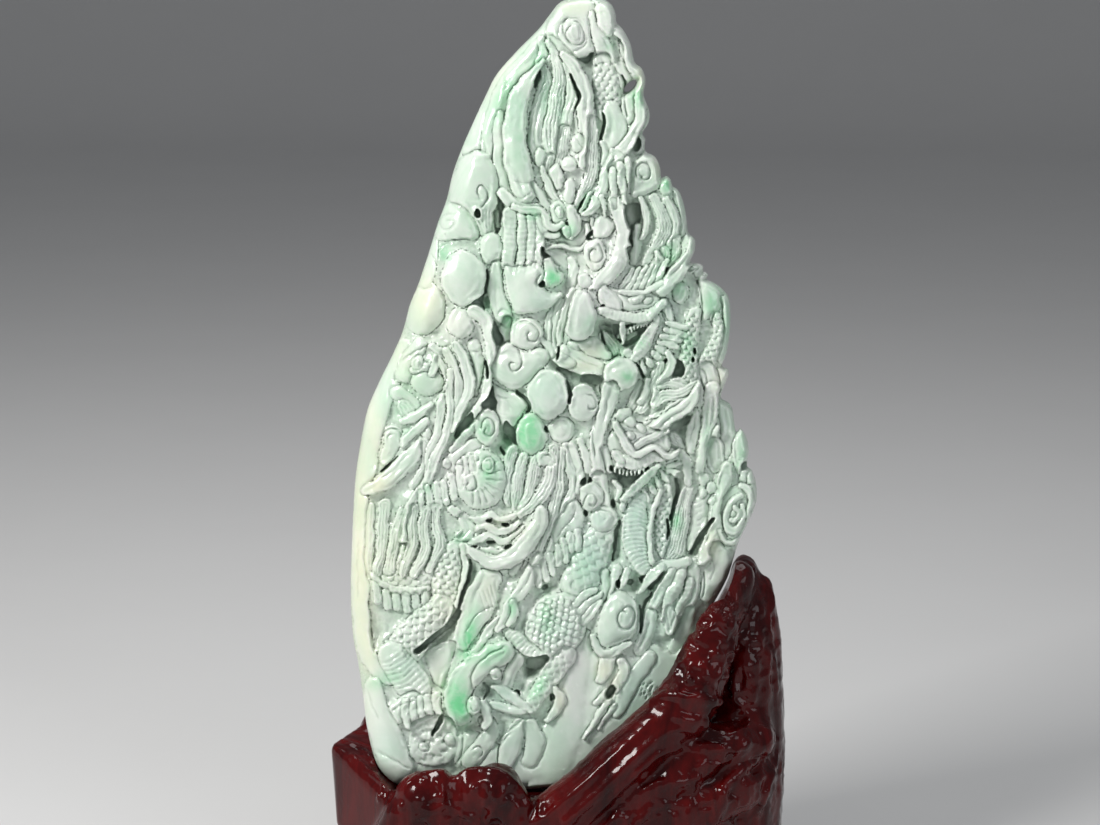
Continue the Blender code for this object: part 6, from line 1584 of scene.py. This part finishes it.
wood = bpy.data.objects.new("wood_stand_fine", fine_stand)
bpy.context.scene.collection.objects.link(wood)


def slot_outline():
    low = [p for p in spline(LEFT_SIDE + RIGHT_SIDE, 9.0, closed=True) if p[1] > 545]
    low = [Vector((p[0], p[1])) for p in low]
    out = []
    for i in range(len(low)):
        a, b = low[max(i - 1, 0)], low[min(i + 1, len(low) - 1)]
        t = (b - a).normalized()
        out.append(low[i] + Vector((-t.y, t.x)) * (0.0008 / GRID))
    return out


def one_xyz(x, y, h):
    return Vector(SLAB_MID + AX_A * (x - MID_X) * GRID + AX_B * (MID_Y - y) * GRID + AX_H * h)


def slot_cutter(name, top_y, bottom_y, reach_front, reach_back):
    side = slot_outline()
    low = [p for p in side if p.y >= bottom_y]
    left = [p for p in side[:len(side) // 2] if top_y < p.y < bottom_y]
    right = [p for p in side[len(side) // 2:] if top_y < p.y < bottom_y]
    if low and bottom_y > 790:
        loop = [Vector((left[0].x, top_y))] + [p for p in side if p.y > top_y] + [Vector((right[-1].x + 0.1, top_y))]
    else:
        loop = ([Vector((left[0].x, top_y))] + left + [Vector((left[-1].x, bottom_y)), Vector((right[0].x, bottom_y))]
                + right + [Vector((right[-1].x + 12.0, top_y))])
    bm = bmesh.new()
    lower = [bm.verts.new(one_xyz(p.x, p.y, reach_back)) for p in loop]
    upper = [bm.verts.new(one_xyz(p.x, p.y, reach_front)) for p in loop]
    bm.faces.new(lower)
    bm.faces.new(list(reversed(upper)))
    for i in range(len(loop)):
        j = (i + 1) % len(loop)
        bm.faces.new((lower[i], upper[i], upper[j], lower[j]))
    bmesh.ops.triangulate(bm, faces=bm.faces)
    bmesh.ops.recalc_face_normals(bm, faces=bm.faces)
    mesh = bpy.data.meshes.new(name)
    bm.to_mesh(mesh)
    bm.free()
    ob = bpy.data.objects.new(name, mesh)
    bpy.context.scene.collection.objects.link(ob)
    return ob


def highest(field, y0, y1):
    return float(field[(GY > y0) & (GY < y1) & (SOLID < 0)].max()) * 1e-3


back_h = -highest(BACK, 540, 810) - 0.0008
cutters = [slot_cutter("slot_low", 723.0, 900.0, highest(FRONT, 721, 810) + 0.0008, back_h),
           slot_cutter("slot_high", 470.0, 735.0, highest(FRONT, 540, 735) + 0.0008, back_h - 0.0002)]
bm = bmesh.new()
bmesh.ops.create_cube(bm, size=1.0)
for vert in bm.verts:
    vert.co = Vector((vert.co.x * 0.4, vert.co.y * 0.3, vert.co.z * 0.05 - 0.025))
gm = bpy.data.meshes.new("ground")
bm.to_mesh(gm)
bm.free()
cutters.append(bpy.data.objects.new("ground", gm))
bpy.context.scene.collection.objects.link(cutters[-1])
for cutter in cutters:
    mod = wood.modifiers.new(cutter.name, "BOOLEAN")
    mod.operation = "DIFFERENCE"
    mod.solver = "EXACT"
    mod.object = cutter
few = wood.modifiers.new("few", "DECIMATE")
few.ratio = min(1.0, 165000 / max(1, 2 * len(wood.data.polygons)))
stand_mesh = baked(wood, "wood_stand_fine")
for cutter in cutters:
    bpy.data.objects.remove(cutter, do_unlink=True)
# only the largest body stays
bm = bmesh.new()
bm.from_mesh(stand_mesh)
bmesh.ops.triangulate(bm, faces=bm.faces)
seen = set()
groups = []
for vert in bm.verts:
    if vert in seen:
        continue
    stack, group = [vert], []
    seen.add(vert)
    while stack:
        here = stack.pop()
        group.append(here)
        for e in here.link_edges:
            o = e.other_vert(here)
            if o not in seen:
                seen.add(o)
                stack.append(o)
    groups.append(group)
groups.sort(key=len, reverse=True)
for group in groups[1:]:
    bmesh.ops.delete(bm, geom=group, context="VERTS")
bm.to_mesh(stand_mesh)
bm.free()
stand_mesh.shade_smooth()
co = coords(stand_mesh)
u, v = seen_at(co)
grit = patch(u, v, 734, 595, 20, 22, 0.3) * (co[:, 1] < 0.02)
attribute(stand_mesh, "grit", grit)
with_edges = stand_mesh
stand_mesh.set_sharp_from_angle(angle=math.radians(55))
stand = bpy.data.objects.new("wood_stand_fine", stand_mesh)
bpy.context.scene.collection.objects.link(stand)
print("stand triangles", len(stand_mesh.polygons))


# ------------------------------------------------------------------ materials
class Nodes:
    def __init__(self, name):
        self.mat = bpy.data.materials.new(name)
        self.mat.use_nodes = True
        self.tree = self.mat.node_tree
        self.shader = self.tree.nodes["Principled BSDF"]
        coord = self.tree.nodes.new("ShaderNodeTexCoord")
        self.obj = coord.outputs["Object"]

    def new(self, kind, **props):
        node = self.tree.nodes.new(kind)
        for k, v in props.items():
            setattr(node, k, v)
        return node

    def put(self, socket, value):
        if isinstance(value, bpy.types.NodeSocket):
            self.tree.links.new(value, socket)
        else:
            socket.default_value = value

    def attr(self, name):
        return self.new("ShaderNodeAttribute", attribute_name=name).outputs["Fac"]

    def math(self, op, a, b=0.0, clamp=False):
        node = self.new("ShaderNodeMath", operation=op, use_clamp=clamp)
        self.put(node.inputs[0], a)
        self.put(node.inputs[1], b)
        return node.outputs[0]

    def mix(self, fac, a, b, kind="MIX"):
        node = self.new("ShaderNodeMix", data_type="RGBA", blend_type=kind)
        self.put(node.inputs["Factor"], fac)
        self.put(node.inputs["A"], a)
        self.put(node.inputs["B"], b)
        return node.outputs["Result"]

    def noise(self, scale, detail=3.0, rough=0.55, dist=0.0, stretch=None):
        node = self.new("ShaderNodeTexNoise")
        vec = self.obj
        if stretch:
            m = self.new("ShaderNodeMapping")
            m.inputs["Scale"].default_value = stretch
            self.tree.links.new(vec, m.inputs["Vector"])
            vec = m.outputs["Vector"]
        self.tree.links.new(vec, node.inputs["Vector"])
        node.inputs["Scale"].default_value = scale
        node.inputs["Detail"].default_value = detail
        node.inputs["Roughness"].default_value = rough
        node.inputs["Distortion"].default_value = dist
        return node.outputs["Fac"]

    def ramp(self, fac, lo, hi, a=0.0, b=1.0):
        node = self.new("ShaderNodeMapRange", interpolation_type="SMOOTHSTEP")
        self.put(node.inputs["Value"], fac)
        for k, v in zip(("From Min", "From Max", "To Min", "To Max"), (lo, hi, a, b)):
            node.inputs[k].default_value = v
        return node.outputs["Result"]

    def bump(self, height, strength, distance, normal=None):
        node = self.new("ShaderNodeBump")
        node.inputs["Strength"].default_value = strength
        node.inputs["Distance"].default_value = distance
        self.put(node.inputs["Height"], height)
        if normal is not None:
            self.put(node.inputs["Normal"], normal)
        return node.outputs["Normal"]


def rgb(r, g, b):
    return (r, g, b, 1.0)


n = Nodes("carved_jade")
cloudy = n.noise(28.0, 5.0, 0.6, 0.8)
fleck = n.noise(220.0, 4.0, 0.65, 0.3)
vein = n.noise(60.0, 6.0, 0.7, 2.2)
base = n.mix(n.ramp(cloudy, 0.35, 0.7), rgb(0.58, 0.72, 0.60), rgb(0.74, 0.81, 0.73))
base = n.mix(n.math("MULTIPLY", n.attr("lavender"), 0.75), base, rgb(0.74, 0.73, 0.73))
base = n.mix(n.math("MULTIPLY", n.attr("teal"), 0.70), base, rgb(0.47, 0.70, 0.60))
base = n.mix(n.math("MULTIPLY", n.attr("cream"), 0.75), base, rgb(0.87, 0.85, 0.62))
greenish = n.math("MULTIPLY", n.attr("green"), n.ramp(vein, 0.25, 0.6, 0.55, 1.15), True)
base = n.mix(greenish, base, rgb(0.20, 0.66, 0.32))
base = n.mix(n.ramp(fleck, 0.62, 0.78, 0.0, 0.25), base, rgb(0.90, 0.93, 0.88))
base = n.mix(n.ramp(fleck, 0.40, 0.26, 0.0, 0.15), base, rgb(0.50, 0.62, 0.50))
# painted highlight: raised edges lightened
base = n.mix(n.math("MULTIPLY", n.attr("edge"), 0.30), base, rgb(0.93, 0.95, 0.90))
# painted shade: crevices and recesses darkened towards dark green, in patches
painted_shade = n.math("ADD", n.math("MULTIPLY", n.attr("crevice"), 0.34), n.math("MULTIPLY", n.attr("recess_shade"), 0.60), True)
painted_shade = n.math("MULTIPLY", painted_shade, n.ramp(n.noise(150.0, 3.0), 0.2, 0.6, 0.6, 1.0), True)
painted_shade = n.math("POWER", painted_shade, 1.35)
base = n.mix(painted_shade, base, rgb(0.055, 0.090, 0.065))
# painted shade: broad hollows darkened
base = n.mix(n.math("MULTIPLY", n.attr("hollow_shade"), 0.24), base, rgb(0.24, 0.34, 0.26))
n.put(n.shader.inputs["Base Color"], base)
n.put(n.shader.inputs["Roughness"], n.math("ADD", n.ramp(fleck, 0.3, 0.7, 0.15, 0.27), n.math("MULTIPLY", painted_shade, 0.30), True))
n.shader.inputs["Subsurface Weight"].default_value = 0.30
n.shader.inputs["Subsurface Radius"].default_value = (0.0035, 0.0045, 0.0035)
n.shader.inputs["Subsurface Scale"].default_value = 0.6
n.shader.inputs["IOR"].default_value = 1.62
nrm = n.bump(n.noise(420.0, 3.0, 0.6), 0.10, 0.0004)
nrm = n.bump(n.noise(90.0, 2.0, 0.5), 0.12, 0.0010, nrm)
n.put(n.shader.inputs["Normal"], nrm)
slab.materials.clear()
slab.materials.append(n.mat)
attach(jade, "root")
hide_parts("jade_carving")

w = Nodes("red_lacquer")
grain = w.noise(55.0, 5.0, 0.6, 1.2, (1.0, 1.0, 0.25))
fine = w.noise(500.0, 3.0, 0.6)
wood = w.mix(w.ramp(grain, 0.3, 0.7), rgb(0.022, 0.0008, 0.0010), rgb(0.085, 0.0030, 0.0030))
w.put(w.shader.inputs["Base Color"], wood)
w.put(w.shader.inputs["Roughness"], w.ramp(fine, 0.3, 0.7, 0.12, 0.26))
w.shader.inputs["Coat Weight"].default_value = 0.35
w.shader.inputs["Specular IOR Level"].default_value = 0.08
w.shader.inputs["Coat Roughness"].default_value = 0.06
wn = w.bump(w.noise(160.0, 4.0, 0.6, 0.6), 0.25, 0.0010)
wn = w.bump(w.math("MULTIPLY", w.noise(1500.0, 2.0, 0.7), w.attr("grit")), 0.9, 0.0016, wn)
w.put(w.shader.inputs["Normal"], wn)
LACQUER = w.mat
stand_mesh.materials.clear()
stand_mesh.materials.append(LACQUER)
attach(stand, "root")
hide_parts("wood_stand")

# ------------------------------------------------------------------ stage
fl = Nodes("pale_floor")
fl.put(fl.shader.inputs["Base Color"], fl.mix(fl.ramp(fl.noise(6.0, 3.0), 0.3, 0.7), rgb(0.600, 0.600, 0.600), rgb(0.608, 0.608, 0.608)))
fl.put(fl.shader.inputs["Roughness"], 0.85)
prof = [(-5.0, 0.0), (3.0, 0.0)] + [(3.0 + math.sin(a), 1.0 - math.cos(a)) for a in np.linspace(0.15, math.pi / 2, 12)] + [(4.0, 4.5)]
verts, faces = [], []
for y, z in prof:
    verts += [(-6.0, y, z), (6.0, y, z)]
for k in range(len(prof) - 1):
    faces.append((2 * k, 2 * k + 1, 2 * k + 3, 2 * k + 2))
fm = bpy.data.meshes.new("floor_sweep")
fm.from_pydata(verts, [], faces)
fm.shade_smooth()
floor = bpy.data.objects.new("floor_sweep", fm)
bpy.context.scene.collection.objects.link(floor)
fm.materials.append(fl.mat)

SIGHT = Vector((0.0, math.cos(EYE_TILT), -math.sin(EYE_TILT)))
cam = bpy.data.cameras.new("camera")
camera = bpy.data.objects.new("camera", cam)
bpy.context.scene.collection.objects.link(camera)
camera.location = AIM - SIGHT * EYE_RANGE
camera.rotation_euler = (math.radians(90.0) - EYE_TILT, 0.0, 0.0)
cam.sensor_width = 36.0
cam.sensor_fit = "HORIZONTAL"
cam.lens = 36.0 * EYE_RANGE / (1100 * GRID)
cam.clip_start = 0.05
bpy.context.scene.camera = camera


def lamp(name, at, to, size, power, colour=(1, 1, 1), size_y=None):
    light = bpy.data.lights.new(name, "AREA")
    light.energy = power
    light.color = colour
    light.shape = "RECTANGLE"
    light.size = size
    light.size_y = size_y or size
    ob = bpy.data.objects.new(name, light)
    ob.location = at
    ob.rotation_euler = (Vector(to) - Vector(at)).to_track_quat("-Z", "Y").to_euler()
    bpy.context.scene.collection.objects.link(ob)
    return ob


lamp("key", (-0.85, -0.60, 1.05), (0.0, 0.0, 0.22), 0.42, 17.0, (1.0, 0.985, 0.96))
lamp("fill", (0.95, -1.1, 0.65), (0.0, 0.0, 0.22), 0.7, 4.2, (0.94, 0.97, 1.0))
lamp("top", (0.1, 0.30, 1.4), (0.0, 0.0, 0.2), 0.8, 7.0)
world = bpy.data.worlds.new("studio")
world.use_nodes = True
world.node_tree.nodes["Background"].inputs["Color"].default_value = (0.75, 0.77, 0.80, 1.0)
world.node_tree.nodes["Background"].inputs["Strength"].default_value = 0.27
bpy.context.scene.world = world
bpy.context.scene.view_settings.view_transform = "Standard"
